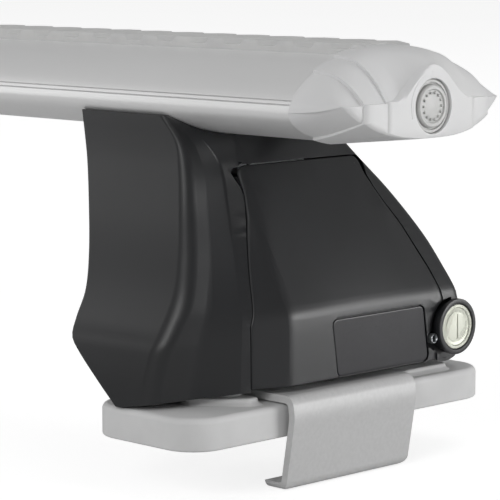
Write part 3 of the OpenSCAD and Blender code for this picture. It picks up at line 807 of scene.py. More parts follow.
# End caps
# Each hood: half width at the bar and at its front, how far it stands out from the bar's section,
# reach at the middle, how much less at its sides, height of its front edge
cap = {
    "hoods": (
        (41.0, 36.5, 0.0, 22.2, 3.2, 124.3),
        (30.0, 29.2, 0.9, 22.6, 1.3, 124.7),
        (21.0, 20.5, 1.8, 22.75, 0.4, 125.2)),
    "low": 113.0,
    "nose": 124.0,
    "noseHalf": 36.5,
    "sweep": 2.9,
    "archTop": 136.2,
    "archHalf": 19.0,
    "drop": 2.6,
    "dropLow": 1.3,
    "round": (0.8, 2.4),
    "roundWide": (0.09, 0.34),
    "hidden": (18.0, 6.0, 4.0),
    "marker": (133.0, 0.9, 1.1),
    "arc": (10.0, 10.4, 105.0, 200.0),
    "raised": (21.8, 23.0),
    "softSide": (7.0, 19.0, 6.0),
    "steps": 14,
    "ring": 17.0,
    "depth": 5.0,
    "plug": 22.0,
    "plugBox": (12.4, 33.0, 115.5, 131.0),
}


# Underside of the front edge: one belly that climbs to the noses under every hood
def capLow(y):
    return cap["low"] + (cap["nose"] - cap["low"]) * min(abs(y) / cap["noseHalf"], 1.0) ** cap["sweep"]


def capTop(y, edge, arched):
    rise = math.cos(math.pi / 2 * min(abs(y) / cap["archHalf"], 1.0)) ** 2 if arched else 0.0
    return edge + (cap["archTop"] - edge) * rise


# Outlines of a hood at the bar and at its front, as matching points from nose to nose
def hoodOutlines(half, frontHalf, grow, edge, arched):
    count, walls = 56, 8
    back, front, falls = [], [], []
    fall, fallLow = cap["drop"], cap["dropLow"]
    ys = [half * math.sin(math.pi * (i / count - 0.5)) for i in range(count + 1)]
    narrow = 1 - frontHalf / half
    limit = half - 0.001

    def frontY(y):
        return y * (1 - narrow * (abs(y) / half) ** 8)

    for y in reversed(ys):
        yy = max(min(y, limit), -limit)
        back.append((y, max(barTop(yy, grow), rack["noseZ"] + 0.4)))
        front.append((frontY(y), capTop(frontY(y), edge, arched)))
        falls.append(fall)
    top, low = back[-1][1], max(barLow(limit, grow), rack["barZ"])
    frontLow = capLow(frontHalf)
    for i in range(1, walls):
        t = i / walls
        back.append((-half, top + (low - top) * t))
        front.append((-frontHalf, edge + (frontLow - edge) * t))
        falls.append(fall + (fallLow - fall) * t)
    for y in ys:
        yy = max(min(y, limit), -limit)
        back.append((y, max(barLow(yy, grow), rack["barZ"])))
        front.append((frontY(y), capLow(frontY(y))))
        falls.append(fallLow)
    for i in range(1, walls):
        t = i / walls
        back.append((half, low + (top - low) * t))
        front.append((frontHalf, frontLow + (edge - frontLow) * t))
        falls.append(fallLow + (fall - fallLow) * t)
    return back, front, falls


# The outer edge of the front stands back a little, so it reads as rounded
def hoodShell(index, dial):
    half, frontHalf, grow, reach, belly, edge = cap["hoods"][index]
    back, front, falls = hoodOutlines(half, frontHalf, grow, edge, dial)
    end = rack["barEnd"]
    dialZ = rack["dialZ"]
    bore = cap["ring"] / 2 + 0.1

    # Where a wider hood runs below the next one it draws back, clear of the dial
    def planReach(y):
        start, run, deep = cap["hidden"]
        under = 0 if dial else deep * min(max((start - abs(y)) / run, 0), 1)
        return reach - belly * min(abs(y) / frontHalf, 1.0) ** 2 - under

    # The middle hood flows into its front on one side and breaks off crisply on the other
    def softness(point, pair):
        y, z = point
        rise, far, fade = cap["softSide"]
        share = min(max(-y / rise, 0), 1) * min(max((far + y) / fade, 0), 1) if dial and z > edge - 0.5 else 0
        return pair[0] + (pair[1] - pair[0]) * share

    rings = []
    steps = cap["steps"]
    for i in range(steps + 1):
        t = math.sin(math.pi / 2 * i / steps)
        rings.append([(end + (planReach(f[0]) - softness(f, cap["round"])) * t,
                       b[0] + (f[0] - b[0]) * t ** e, b[1] + (f[1] - b[1]) * t ** e)
                      for b, f, e in zip(back, front, falls)])
    for k in (0.03, 0.09, 0.18, 0.34, 0.44, 0.7, 1.0):
        ring = []
        for x, y, z in rings[steps]:
            away = math.hypot(y, z - dialZ)
            r = away + (bore + 0.25 - away) * k
            fy, fz = y * r / away, dialZ + (z - dialZ) * r / away
            shy = softness((y, z), cap["round"]) * (1 - min(k / softness((y, z), cap["roundWide"]), 1)) ** 2
            lift = 0.25 * (1 - (1 - k) ** 2) if dial else 0
            ring.append((end + planReach(fy) - shy + lift, fy, fz))
        rings.append(ring)
    if dial:
        for r, x in ((bore + 0.06, -0.08), (bore, -0.3), (bore, -cap["depth"])):
            ring = []
            for _, y, z in rings[-1]:
                away = math.hypot(y, z - dialZ)
                ring.append((end + reach + 0.25 + x, y * r / away, dialZ + (z - dialZ) * r / away))
            rings.append(ring)
    return loft(rings)


def buildCaps():
    shells = joined(*[hoodShell(i, i == 2) for i in range(3)])
    end, dialZ = rack["barEnd"], rack["dialZ"]
    plugs = []
    near, far, low, high = cap["plugBox"]
    for s in (-1, 1):
        plug = roundedRect(min(s * near, s * far), max(s * near, s * far), low, high, 2)
        plugs.append(slab(plug, "x", end - cap["plug"], end + 1))
    raised = [end + x for x in cap["raised"]]
    z, halfWide, halfHigh = cap["marker"]
    marks = [slab([(halfWide * a, z + halfHigh * b) for a, b in circle(1.0, 24)], "x", *raised)]
    inner, outer, start, stop = cap["arc"]
    band = circle(outer, 24, 0, dialZ, start, stop) + circle(inner, 24, 0, dialZ, start, stop)[::-1]
    marks.append(slab(band, "x", *raised))
    template = meshObject("cap_template", *joined(shells, *plugs, *marks))
    finishEdges(template, 0, sharp=32)
    bothSides(template, "cap_shell", "bar", "end_cap", finishes["cap_plastic"], moveToEnd)


dial = {
    "ring": 17.0,
    "disc": 14.2,
    "face": 0.9,
    "beads": 14,
    "beadIn": 2.9,
}


def buildDials():
    end = rack["barEnd"] + 23.0
    face = end - dial["face"]
    ringR, discR = dial["ring"] / 2, dial["disc"] / 2
    profile = [(end - 5, 0), (end - 5, ringR), (face - 0.4, ringR), (face, ringR - 0.35),
               (face, discR + 0.35),
               (face - 0.5, discR + 0.1), (face - 0.5, discR - 0.1), (face + 0.45, discR - 0.35),
               (face + 0.8, discR - 0.8), (face + 0.8, discR - 1.7), (face + 0.35, discR - 2.1),
               (face + 0.45, discR - 4.5), (face + 0.5, 0)]
    body = turned(profile, 0, rack["dialZ"], 96)
    template = meshObject("dial_template", *body)
    dome = [(face + 0.3, 0), (face + 0.3, 0.5), (face + 0.85, 0.4), (face + 1.0, 0)]
    verts, faces = turned(dome, 0, 0, 16)
    across = discR - dial["beadIn"]
    beads = []
    for k in range(dial["beads"]):
        a = math.tau * k / dial["beads"]
        shape = [(x, y + across * math.cos(a), z + rack["dialZ"] + across * math.sin(a)) for x, y, z in verts]
        beads.append((shape, faces))
    merge(template, meshObject("beads", *joined(*beads)))
    finishEdges(template, 0, sharp=35)
    bothSides(template, "dial", "dial", "end_cap_dial", finishes["dial_plastic"], moveToEnd)


buildCaps()
buildDials()
print("end caps done")


# Leg moulding. Each row: height, inboard x and y, nose x and y, hollow, crease back and y,
# and where the flat outboard face starts and ends
leg = {
    "rows": (
        (28, -40, 70, -27, -66, 2.2, 6.6, -40.8, -24.5, 63.5),
        (36, -49, 70, -26.5, -66, 2.2, 6.6, -40.8, -24.5, 63),
        (44, -58.8, 69, -25, -65, 2, 6.6, -40.6, -24.5, 61.3),
        (48, -62.8, 68, -24, -64, 1.8, 6.6, -40.4, -24.5, 60),
        (53, -65.4, 64, -23.4, -61.5, 1.5, 6.6, -40.2, -24.4, 58.6),
        (62, -65.2, 60, -22.5, -57, 0.9, 6.6, -38, -24, 56.6),
        (74, -68, 56, -25.5, -51.5, 0.4, 6.6, -33.2, -23.2, 53.3),
        (89, -76.4, 48.5, -31, -46, 0.3, 6.6, -27.6, -21.8, 45.5),
        (102, -82.3, 43.8, -35.5, -42.2, 0.3, 5.6, -24.6, -18.6, 36),
        (110, -85.2, 42.2, -40.5, -40.6, 0.3, 2.4, -30.5, -18, 30.5),
        (118, -88.3, 40.6, -49, -40.7, 0.3, 2, -38, -18, 26)),
    "radii": (1, 7, 14, 1.6, 8, 4, 4),  # inboard front, nose, hollow, front crease, then the face and rear
    "steps": (3, 7, 9, 7, 9, 8, 7),
    "slope": 0.593,
    "creaseZ": 56.0,
    "blend": 2.0,
    "wall": 3.0,
    "bottom": 28.0,
    "top": 118.0,
    "level": 1.5,
    "bendLevels": (54.5, 55.2, 56, 56.8, 57.5),
    "windowLow": 20.0,
    "rearRound": 9.4,
    "frameTop": 101.0,
    "soleOut": 33.0,
    "soleIn": 28.3,
    "soleInX": -38.0,
    "swingTop": 101.3,
    "swingSkin": 1.2,
    "swing": (-19.9, 35.0),
    "swingBehind": (((-23.0, -17.0), 94.0, 102.2, 5.2), ((33.0, 35.8), 94.0, 101.0, 2.4)),
    "swingCorners": (
        ((-17, 85), (-17, 101.9), (-19, 101.9), (-21.7, 100.7), (-22.7, 99.2), (-22.4, 95.2),
         (-22.6, 92.4), (-23.8, 89), (-25.2, 85)),
        ((33, 80), (41.8, 80), (38.4, 86.4), (36.6, 91), (35.5, 95.4), (36.4, 99.4), (35.6, 101.4),
         (33, 101.9))),
}
hinge = {"x": -36.5, "z": 93.5, "sweep": 9.2, "lug": 3.4, "lugY": 13.0, "lugWide": 3.0, "pin": 3.1}
lock = {
    "face": -3.0,
    "ring": 9.5,
    "neck": 8.3,
    "barrel": 6.5,
    "pocketR": 11.2,
    "core": 4.8,
    "disc": 7.7,
    "pocket": -9.0,
    "back": -24.0,
    "camReach": 15.5,
    "slot": (0.75, 4.2),
    "bossRadius": 12.6,
    "bossEnd": 59.0,
}
rivet = {"y": 43.4, "z": 40.7, "radius": 1.7, "shank": 1.2, "gap": 0.4, "hole": 0.85}


def faceAt(z):
    d = z - leg["creaseZ"]
    return rack["faceX"] - leg["slope"] * (d + math.hypot(d, leg["blend"])) / 2


def rowSlope(i, k):
    rows = leg["rows"]
    a, b = max(i - 1, 0), min(i + 1, len(rows) - 1)
    return (rows[b][k] - rows[a][k]) / (rows[b][0] - rows[a][0])


def legCorners(z):
    rows = leg["rows"]
    i = max(j for j in range(len(rows) - 1) if rows[j][0] <= max(z, rows[0][0]))
    h = rows[i + 1][0] - rows[i][0]
    s = (z - rows[i][0]) / h
    r = [(2 * s ** 3 - 3 * s ** 2 + 1) * rows[i][k] + (s ** 3 - 2 * s ** 2 + s) * rowSlope(i, k) * h
         + (3 * s ** 2 - 2 * s ** 3) * rows[i + 1][k] + (s ** 3 - s ** 2) * rowSlope(i + 1, k) * h
         for k in range(10)]
    x = faceAt(z)
    nose, crease = np.array([r[3], r[4]]), np.array([x - r[6], r[7]])
    hollow = (nose + crease) / 2 - r[5] * outward(nose, crease)
    return [(r[1], -r[2]), nose, hollow, crease, (x, r[8]), (x, r[9]), (r[1], r[2])]


def legRing(z, wall=0.0):
    c = inset(legCorners(z), wall)
    ring = []
    for i in range(7):
        radius = max(leg["radii"][i] - wall, 0.8)
        ring += roundCorner(c[i - 1], c[i], c[(i + 1) % 7], radius, leg["steps"][i])
    return ring


ringCache = {}


# Outboard x of the leg's surface at a place seen from outboard
def legX(y, z):
    key = round(z, 2)
    if key not in ringCache:
        ring = legRing(key)
        first = leg["steps"][0] + 1
        last = sum(s + 1 for s in leg["steps"][:6])
        chain = np.array(ring[first:last])
        ringCache[key] = (chain[:, 1], chain[:, 0])
    ys, xs = ringCache[key]
    return float(np.interp(y, ys, xs))


def legSurface(points):
    return np.array([legX(p[0], p[1]) for p in points])


def soleAt(x):
    share = (x - rack["faceX"]) / (rack["faceX"] - leg["soleInX"])
    return leg["soleOut"] + (leg["soleOut"] - leg["soleIn"]) * share


# Corners as (y, z, radius) from the bottom front, round the rear and the top; the lip is the
# thin outer skin that covers the room the thick part needs to swing
cover = {
    "low": 33.0,
    "corners": ((-37.1, 33, 0.5), (45.6, 33, 0.5), (48.6, 52, 1), (46.3, 64, 20), (41.6, 79, 30),
                (33.6, 93.5, 8), (33.6, 101.3, 2.2), (-17.8, 101.3, 4.5), (-31.9, 67, 40), (-37.1, 53, 6)),
    "lip": ((-37.3, 33, 0.5), (45.9, 33, 0.5), (48.8, 52, 1), (46.5, 64, 20), (41.8, 79, 30),
            (38, 86.4, 20), (36.2, 91, 10), (34.7, 95.4, 8), (34.2, 101.5, 2.6), (-20.6, 101.5, 3.6),
            (-21.9, 93.8, 10), (-24.7, 85, 20), (-32.1, 67, 40), (-37.3, 53, 6)),
    "lipThick": 0.8,
    "wall": 2.4,
    "notch": 9.9,
    "lipNotch": 9.75,
    "lockDrop": 3.62,
    "rivetDrop": 2.45,
    "windowDrop": 1.84,
    "lipDrops": (1.8, 1.1),
    "rearEdge": 1.9,
    "dome": 1.2,
    "proud": 0.9,
    "proudWide": 9.0,
    "edge": 0.45,
}


# Left side of the notch that the cover keeps clear of the lock and the rivet
def notchY(z, radius, grow, lockDrop, rivetDrop):
    def bite(y0, z0, r, drop):
        away = z - z0 if z > z0 else (z0 - drop - z if z < z0 - drop else 0)
        return y0 - math.sqrt(r * r - away * away) if abs(away) < r else 1e3
    return min(bite(rack["lockY"], rack["lockZ"], radius, lockDrop),
               bite(rivet["y"], rivet["z"], rivet["radius"] + rivet["gap"] - grow, rivetDrop))


def coverOutline(corners, radius, grow, lockDrop, rivetDrop, step=0.5):
    c = [tuple(p) for p in inset([p[:2] for p in corners], -grow)]
    low = rack["lockZ"] - lockDrop - math.sqrt(radius ** 2 - (rack["lockY"] - c[1][0]) ** 2)
    high = rack["lockZ"] + math.sqrt(radius ** 2 - (rack["lockY"] - c[2][0]) ** 2)
    bites = [(notchY(z, radius, grow, lockDrop, rivetDrop), z)
             for z in np.linspace(low + 0.01, high - 0.01, int((high - low) / step))]
    out = []
    n = len(c)
    for i in range(n):
        if i == 2:
            out += bites
            out.append((c[2][0], high + 0.3))
        elif i == 1:
            out.append(c[1])
        else:
            out += roundCorner(c[i - 1] if i != 3 else (c[2][0], high), c[i], c[(i + 1) % n],
                               corners[i][2] + grow, 8)
    return out


def buildLeg():
    even = [float(z) for z in np.arange(leg["bottom"], leg["top"], leg["level"])]
    levels = sorted(set([*even, *leg["bendLevels"], leg["top"]]))
    obj = meshObject("leg_template", *loft([[(x, y, z) for x, y in legRing(z)] for z in levels]))
    inner = [float(z) for z in np.arange(leg["bottom"] - 1, leg["frameTop"], 2 * leg["level"])]
    inner.append(leg["frameTop"])
    cut(obj, loft([[(x, y, z) for x, y in legRing(z, leg["wall"])] for z in inner]))
    gap = rack["coverGap"]
    lowered = [(y, leg["windowLow"] if z == cover["low"] else z, r) for y, z, r in cover["corners"]]
    window = coverOutline(lowered, cover["notch"] - gap, gap, cover["windowDrop"], 0.0, 0.4)
    cut(obj, windowTool(window))
    upper, lower = barSection(rack["seam"])
    cut(obj, slab(upper + lower, "x", -100, 20))
    cut(obj, block((-84.3, -45.7), (-15.3, 15.3), (108.7, 130)))
    sole = [(-100, 0), (20, 0), (20, soleAt(20)), (leg["soleInX"], leg["soleIn"]), (-100, leg["soleIn"])]
    cut(obj, slab(sole, "y", -90, 90))
    swing = [(hinge["x"] + hinge["sweep"] * math.cos(a), hinge["z"] + hinge["sweep"] * math.sin(a))
             for a in np.linspace(0, math.pi, 25)]
    outer = faceAt(leg["swingTop"]) - leg["swingSkin"]
    swing = [p for p in swing if p[0] < outer]
    swing = [(outer, hinge["z"]), (outer, swing[0][1] + 0.2)] + swing
    cut(obj, slab(swing, "y", *leg["swing"]))
    back = hinge["x"] - hinge["sweep"]
    for edges, low, high, skin in leg["swingBehind"]:  # room for the cover's side edges, behind the skin
        room = [(back, low), (faceAt(low) - skin, low), (faceAt(high) - skin, high), (back, high)]
        cut(obj, slab(room, "y", *edges))
    for corner in leg["swingCorners"]:
        cut(obj, slab(list(corner), "x", -39.5, 10))
    y, z = rack["lockY"], rack["lockZ"]
    cut(obj, slab(circle(lock["neck"] + 0.3, 64, y, z), "x", lock["pocket"] - 6, 10))
    bite = circle(cover["notch"], 32, y, z, 90, 180) + circle(lock["pocketR"], 32, y, z, 180, 270)
    cut(obj, slab(bite, "x", lock["pocket"], 10))
    arc = circle(leg["rearRound"], 24, y, z, 270, 360)
    cut(obj, slab(arc + [(90, z), (90, 20), (y, 20)], "x", lock["pocket"] - 6, 10))
    around = circle(rivet["radius"] + rivet["gap"], 32, rivet["y"], rivet["z"])
    cut(obj, slab(around, "x", lock["pocket"], 10))
    finishEdges(obj, 0.22, 2, 40, 36)
    notch = (cover["notch"] - gap, gap, cover["windowDrop"], 0.0)
    boss = [(notchY(b, *notch), b) for b in np.linspace(51.5, 34.5, 30)]
    boss = [p for p in boss if math.hypot(p[0] - y, p[1] - z) < lock["bossRadius"]]
    low = math.atan2(boss[-1][1] - z, boss[-1][0] - y)
    high = math.atan2(boss[0][1] - z, boss[0][0] - y)
    radius = lock["bossRadius"]
    arc = [(min(y + radius * math.cos(a), lock["bossEnd"]), z + radius * math.sin(a))
           for a in np.linspace(low if low < 0 else low - math.tau, high, 40)]
    floor = slab([boss[1:-1] + arc, circle(lock["barrel"] + 0.05, 48, y, z)],
                 "x", lock["pocket"] - leg["wall"], lock["pocket"] + 0.02)
    merge(obj, meshObject("boss", *floor))
    bothSides(obj, "leg_shell", "foot", "leg_body", finishes["leg_plastic"])


# The window's cutter stops short of the inboard wall, further in towards the top
def windowTool(outline):
    verts, faces = slab(outline, "x", 0, 10)
    deep = []
    for x, y, z in verts:
        back = -22 if z <= 62 else max(-39.5, -22 - 17.5 * (z - 62) / 34)
        deep.append((back if x == 0 else x, y, z))
    return deep, faces


badge = {
    "middle": (18.1, 42.9),
    "size": (44.4, 18.8),
    "lean": 2.8,
    "corner": 2.0,
    "deep": 1.0,
    "gap": 0.38,
    "edge": 0.3,
}


def badgeOutline(grow, steps=6):
    (y, z), (w, h) = badge["middle"], badge["size"]
    lean = badge["lean"] / 2
    corners = [(y - w / 2 + lean, z - h / 2), (y + w / 2 + lean, z - h / 2),
               (y + w / 2 - lean, z + h / 2), (y - w / 2 - lean, z + h / 2)]
    return roundedLoop(inset(corners, -grow), badge["corner"] + grow, steps)


def faceGrid(rowStep, columnStep, extraRows=(), extraColumns=()):
    rows = sorted(set(list(np.arange(30, 102, rowStep)) + list(extraRows)))
    columns = sorted(set(list(np.arange(-38, 50, columnStep)) + list(extraColumns)))
    return [(y, z) for y in columns for z in rows]


def buildCover():
    outline = coverOutline(cover["lip"], cover["lipNotch"], 0.0, *cover["lipDrops"])
    drops = cover["lockDrop"], cover["rivetDrop"]
    thick = np.array(divided(coverOutline(cover["corners"], cover["notch"], 0.0, *drops), 1.5))
    within = insideLoop(thick, outline) & (edgeDistance(thick, outline) > 0.12)
    thick = [tuple(p) for p in thick[within]]
    pocket = badgeOutline(badge["gap"])
    rim = badgeOutline(badge["gap"] + 0.25)

    def front(points):
        away = edgeDistance(points, outline)
        rear = np.clip((points[:, 0] - 30) / 6, 0, 1) * np.clip((92 - points[:, 1]) / 8, 0, 1)
        rear = rear * np.clip((points[:, 1] - 50) / 3, 0, 1)
        radius = cover["edge"] + (cover["rearEdge"] - cover["edge"]) * rear
        ridge = np.clip(1 - away / cover["proudWide"], 0, 1)
        across = np.clip((points[:, 0] + 20) / 64, 0, 1)
        upwards = np.clip((points[:, 1] - leg["creaseZ"]) / 45, 0, 1)
        dome = cover["dome"] * np.sin(math.pi * across) * np.sin(math.pi * upwards)
        x = legSurface(points) + dome - edgeFall(away, radius)
        x = x + cover["proud"] * rear * ridge ** 2 * (3 - 2 * ridge)
        inRim = insideLoop(points, pocket)
        onRim = edgeDistance(points, pocket)
        x = np.where((onRim < 0.02) & ~inRim, x - 0.12, x)
        return np.where(inRim & (onRim > 0.01), rack["faceX"] - badge["deep"], x)

    def back(points):
        deep = insideLoop(points, thick) & (edgeDistance(points, thick) > 0.3)
        return legSurface(points) - np.where(deep, cover["wall"], cover["lipThick"])

    floor = badgeOutline(badge["gap"] - 0.03)
    grid = faceGrid(2.4, 3.2, [54, 54.6, 55.2, 55.8, 56.4, 57, 57.6, 58.4], list(np.arange(-32, -18, 1.1)))
    shell = plate(outline, grid, (0.05, 0.16, 0.34, 0.6, 0.95, 1.4, 1.95, 2.8), front, back,
                  (rim, pocket, floor))
    lugs = []
    normal = unit((1, leg["slope"]))
    across = np.array([-normal[1], normal[0]]) * hinge["lug"]
    deep = float(np.dot((faceAt(hinge["z"]) - hinge["x"], 0.0), normal)) - cover["wall"] / 2
    root = normal * deep
    for y in (-hinge["lugY"] - hinge["lugWide"], hinge["lugY"]):
        centre = np.array([hinge["x"], hinge["z"]])
        turn = math.atan2(across[1], across[0])
        arc = [tuple(centre + hinge["lug"] * np.array([math.cos(turn + a), math.sin(turn + a)]))
               for a in np.linspace(0, math.pi, 20)]
        loop = arc + [tuple(centre + root - across), tuple(centre + root + across)]
        hole = [tuple(p) for p in circle(hinge["pin"] / 2, 32, hinge["x"], hinge["z"])]
        lugs.append(slab([loop, hole], "y", y, y + hinge["lugWide"]))
    catch = rack["lockY"] - lock["camReach"] - 3
    lugs.append(block((lock["back"] + 0.6, rack["faceX"] - 1.5), (catch, catch + 2), (41, 50)))
    lugs.append(block((lock["back"] + 0.6, lock["back"] + 3), (catch, catch + 5.3), (41, 50)))
    obj = meshObject("cover_template", *joined(shell, *lugs))
    finishEdges(obj, 0, sharp=40)
    bothSides(obj, "cover_shell", "cover", "cover", finishes["leg_plastic"])


def buildBadge():
    outline = badgeOutline(0.0, 8)

    def front(points):
        away = edgeDistance(points, outline)
        return rack["faceX"] - 0.3 - edgeFall(away, badge["edge"])

    def back(points):
        return np.full(len(points), rack["faceX"] - badge["deep"] + 0.01)

    obj = meshObject("badge_template", *plate(outline, faceGrid(4, 5), (0.04, 0.12, 0.3, 0.6), front, back))
    finishEdges(obj, 0, sharp=50)
    bothSides(obj, "badge_insert", "cover", "badge_plate", finishes["badge_plastic"])


def buildLock():
    y, z = rack["lockY"], rack["lockZ"]
    front = lock["face"]
    wide, d, bore = lock["ring"], lock["disc"], lock["core"] + 0.05
    ring = [(lock["back"] + 2, bore), (lock["back"] + 2, lock["barrel"]), (lock["pocket"], lock["barrel"]),
            (lock["pocket"], lock["neck"]), (front - 1.6, lock["neck"]), (front - 1.6, wide - 0.15),
            (front - 1.45, wide), (front - 0.45, wide), (front - 0.12, wide - 0.14), (front, wide - 0.5),
            (front, d + 0.4), (front - 0.08, d + 0.2), (front - 0.3, d + 0.08), (front - 2.4, d + 0.08),
            (front - 2.5, bore)]
    housing = meshObject("ring_template", *turned(ring, y, z, 96, hollow=True))
    finishEdges(housing, 0, sharp=40)
    bothSides(housing, "lock_ring", "foot", "lock_housing", finishes["leg_plastic"])
    face = front - 0.4
    core = [(lock["back"] - 4, 0), (lock["back"] - 4, 3.0), (lock["back"], 3.0),
            (lock["back"], lock["core"]), (front - 2.3, lock["core"]), (front - 2.3, d), (face - 0.25, d),
            (face, d - 0.25), (face, d - 1.1), (face - 0.35, d - 1.4), (face - 0.4, d - 2.4),
            (face - 0.28, d - 2.6), (face - 0.25, 0)]
    template = meshObject("core_template", *turned(core, y, z, 96))
    wide, high = lock["slot"]
    keyway = roundedRect(y - wide, y + wide, z - high, z + high, 0.5, 4)
    cut(template, slab(keyway, "x", front - 6, front + 1))
    wide, high = wide - 0.04, high - 0.05
    shutter = slab(roundedRect(y - wide, y + wide, z - high, z + high, 0.45, 4), "x", front - 3, face - 0.5)
    merge(template, meshObject("leaf", *shutter))
    finishEdges(template, 0, sharp=30)
    bothSides(template, "lock_face", "lock", "lock_core", finishes["lock_chrome"])
    top = front - 1.9
    tube = [(-13, rivet["hole"]), (-13, rivet["shank"]), (lock["pocket"], rivet["shank"]),
            (lock["pocket"], rivet["radius"]), (top - 0.3, rivet["radius"]), (top, rivet["radius"] - 0.25),
            (top, rivet["radius"] - 0.4), (top - 0.7, rivet["hole"])]
    eyelet = meshObject("rivet_template", *turned(tube, rivet["y"], rivet["z"], 40, hollow=True))
    finishEdges(eyelet, 0, sharp=40)
    bothSides(eyelet, "eyelet", "foot", "rivet", finishes["plated_steel"])


buildLeg()
print("legs done")
buildCover()
buildBadge()
buildLock()
print("covers and locks done")


# Rubber pad: rounded block with two raised seats that flare into it
pad = {
    "middle": (-29.6, 2.0),
    "size": (49.0, 142.0),
    "z": (17.5, 28.0),
    "corner": 12.0,
    "edge": 2.0,
    "seatTop": 33.5,
    "flareTop": 30.2,
    "rear": ((-31, 35), (-17.5, 35), (-17.5, 54), (-31, 54)),
    "rearLow": ((-31, 34), (-10.5, 34), (-10.5, 57.5), (-31, 57.5)),
    "front": ((-31, -51), (-18.5, -38.5), (-18.5, -34.5), (-31, -34.5)),
    "frontLow": ((-31, -54), (-11.5, -38), (-11.5, -33), (-31, -33)),
}


def padRing(grow, z):
    (x, y), (w, l) = pad["middle"], pad["size"]
    w, l = w / 2 + grow, l / 2 + grow
    return [(u, v, z) for u, v in roundedRect(x - w, x + w, y - l, y + l, pad["corner"] + grow, 10)]


def seat(corners, top, flare):
    rings = []
    low = pad["z"][1] - 0.3
    for k in range(9):
        t = k / 8
        grow = flare * (1 - math.sin(math.pi / 2 * t))
        loop = roundedLoop(inset(corners, -grow), 3 + grow, 6)
        rings.append([(u, v, low + (top - low - 0.8) * t) for u, v in loop])
    for grow, z in ((-0.1, top - 0.4), (-0.4, top - 0.1), (-0.9, top)):
        rings.append([(u, v, z) for u, v in roundedLoop(inset(corners, -grow), 3 + grow, 6)])
    return loft(rings)


def buildPad():
    z0, z1 = pad["z"]
    e = pad["edge"]
    rings = [padRing(-0.8, z0), padRing(-0.25, z0 + 0.25), padRing(0, z0 + 0.8)]
    for k in range(7):
        a = math.pi / 2 * k / 6
        rings.append(padRing(-e * (1 - math.cos(a)), z1 - e + e * math.sin(a)))
    parts = [loft(rings)]
    for end in ("rear", "front"):
        parts += [seat(pad[end], pad["seatTop"], 1.5), seat(pad[end + "Low"], pad["flareTop"], 2.2)]
    obj = meshObject("pad_template", *joined(*parts))
    finishEdges(obj, 0, sharp=44)
    bothSides(obj, "pad_rubber", "foot", "pad", finishes["pad_rubber"])


# Clamp: one strip of steel bent round the pad, with a hook below and a bolt tab inside
clamp = {
    "wide": 58.0,
    "thick": 2.5,
    "corner": 3.0,
    "tabX": -31.6,
    "tabHalf": 12.0,
    "boltZ": 50.0,
    "hookX": -5.4,
    "hook": 11.0,
    "bends": (0, 2.6, 14, 2.6, 2, 0),
    "edge": 0.45,
}


def sheet(path, radii, thick):
    mid = [path[0]]
    for i in range(1, len(path) - 1):
        mid += roundCorner(path[i - 1], path[i], path[i + 1], radii[i], 8)
    mid.append(path[-1])
    normals = [outward(mid[max(i - 1, 0)], mid[min(i + 1, len(mid) - 1)]) for i in range(len(mid))]
    one = [tuple(np.add(p, n * thick / 2)) for p, n in zip(mid, normals)]
    two = [tuple(np.subtract(p, n * thick / 2)) for p, n in zip(mid, normals)]
    return one + two[::-1]


def buildClamp():
    t, wide = clamp["thick"], clamp["wide"] / 2
    flange = pad["z"][1] + 0.5 + t / 2
    faceMid = -0.3 - t / 2
    tab = clamp["tabX"] - t / 2
    path = [(clamp["hookX"] - clamp["hook"] + 2.6, t / 2), (clamp["hookX"], t / 2), (faceMid, 24),
            (faceMid - 1, flange), (tab, flange), (tab, clamp["boltZ"] + 8)]
    obj = meshObject("clamp_template", *slab(sheet(path, clamp["bends"], t), "y", -wide, wide))
    cut(obj, slab(roundedRect(-wide, wide, 0, 116, clamp["corner"]), "x", -90, 60), "INTERSECT")
    for s in (-1, 1):
        y0, y1 = sorted((s * clamp["tabHalf"], s * (wide + 10)))
        cut(obj, block((clamp["tabX"] - 10, clamp["tabX"] + 6), (y0, y1), (flange - 5, 80)))
    cut(obj, slab(circle(4.2, 32, 0, clamp["boltZ"]), "x", clamp["tabX"] - 10, clamp["tabX"] + 5))
    finishEdges(obj, clamp["edge"], 3, 40, 40)
    bothSides(obj, "clamp_strip", "clamp", "clamp", finishes["clamp_steel"])


buildPad()
buildClamp()
for node, body in (("saddle_pad", "foot"), ("channel_nut", "foot"), ("bar_bolt", "foot"),
                   ("bar_washer", "foot"), ("inner_frame", "foot"), ("frame_nut", "foot"),
                   ("hinge_pin", "foot"), ("base_plate", "foot"), ("lock_cam", "lock"),
                   ("clamp_bolt", "clamp_bolt"), ("bolt_washer", "clamp")):
    rubber = node == "saddle_pad"
    hardware(node, body,
             finishes["pad_rubber" if rubber else "plated_steel"])
print("pads, clamps and hardware done")


# Floor, light and camera
studio = {
    "floor": 14.0,
    "lights": (
        ("key", (1.5, -2.5, 1.5), (0.5, 0, 0.05), 1.1, 25.0),
        ("side", (1.75, 1.0, 0.12), (0.6, 0.03, 0.05), 0.7, 16.0),
        ("left", (-2.1, -1.3, 1.0), (0.5, 0, 0.08), 1.8, 15.0),
        ("top", (0.5, 0.6, 3.0), (0.5, 0, 0), 2.4, 14.0)),
    "ambient": 0.3,
    "white": 1.76,
    "whiteShare": 0.45,
    "camera": (1.122, -0.5734, 0.176),
    "azimuth": 45.0,
    "elevation": 7.4,
    "lens": 175.7,
}


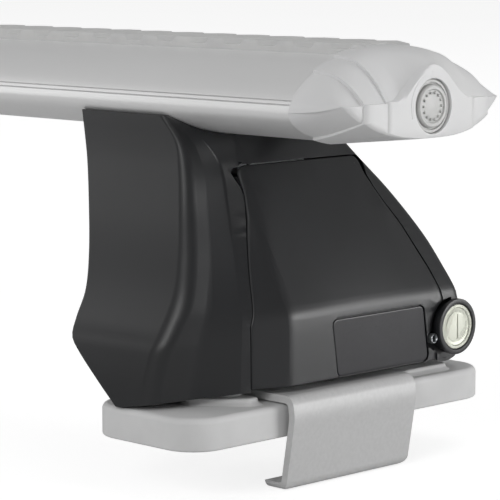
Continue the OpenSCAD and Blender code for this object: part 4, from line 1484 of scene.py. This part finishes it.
def buildStudio():
    half = studio["floor"] / millimetre
    corners = [(-half, -half, -0.2), (half, -half, -0.2), (half, half, -0.2), (-half, half, -0.2)]
    floor = meshObject("floor", corners, [(0, 1, 2, 3)])
    material, tree = newMaterial("studio_floor")
    paper = noise(tree, objectPlace(tree), 600, 2.0)
    shade = addNode(tree, "ShaderNodeBsdfDiffuse", {"Color": twoTones(tree, paper, "#DEDEDE", "#E2E2E2")})
    white = addNode(tree, "ShaderNodeEmission", {"Color": (1, 1, 1, 1), "Strength": studio["white"]})
    path = addNode(tree, "ShaderNodeLightPath")
    part = addNode(tree, "ShaderNodeMath", {0: path.outputs["Is Camera Ray"], 1: studio["whiteShare"]},
                   operation="MULTIPLY")
    mix = addNode(tree, "ShaderNodeMixShader", {0: part.outputs[0], 1: shade.outputs[0], 2: white.outputs[0]})
    addNode(tree, "ShaderNodeOutputMaterial", {"Surface": mix.outputs[0]})
    floor.data.materials.append(material)
    world = bpy.data.worlds.new("studio")
    bpy.context.scene.world = world
    world.use_nodes = True
    tree = world.node_tree
    tree.nodes.clear()
    path = addNode(tree, "ShaderNodeLightPath")
    room = addNode(tree, "ShaderNodeBackground", {"Color": (1, 1, 1, 1), "Strength": studio["ambient"]})
    back = addNode(tree, "ShaderNodeBackground", {"Color": (1, 1, 1, 1), "Strength": 1.0})
    mix = addNode(tree, "ShaderNodeMixShader",
                  {0: path.outputs["Is Camera Ray"], 1: room.outputs[0], 2: back.outputs[0]})
    addNode(tree, "ShaderNodeOutputWorld", {"Surface": mix.outputs[0]})
    for name, place, target, size, power in studio["lights"]:
        data = bpy.data.lights.new(name, "AREA")
        data.shape = "SQUARE"
        data.size = size
        data.energy = power
        lamp = bpy.data.objects.new(name, data)
        lamp.location = place
        lamp.rotation_euler = (Vector(target) - Vector(place)).to_track_quat("-Z", "Y").to_euler()
        bpy.context.scene.collection.objects.link(lamp)
    camera = bpy.data.objects.new("camera", bpy.data.cameras.new("camera"))
    camera.data.sensor_width = 36.0
    camera.data.lens = studio["lens"]
    camera.data.clip_start = 0.01
    camera.data.clip_end = 60
    az, el = math.radians(studio["azimuth"]), math.radians(studio["elevation"])
    ahead = Vector((-math.sin(az) * math.cos(el), math.cos(az) * math.cos(el), -math.sin(el)))
    camera.location = studio["camera"]
    camera.rotation_euler = ahead.to_track_quat("-Z", "Y").to_euler()
    bpy.context.scene.collection.objects.link(camera)
    bpy.context.scene.camera = camera
    bpy.context.scene.view_settings.view_transform = "Standard"


buildStudio()
print("studio done")
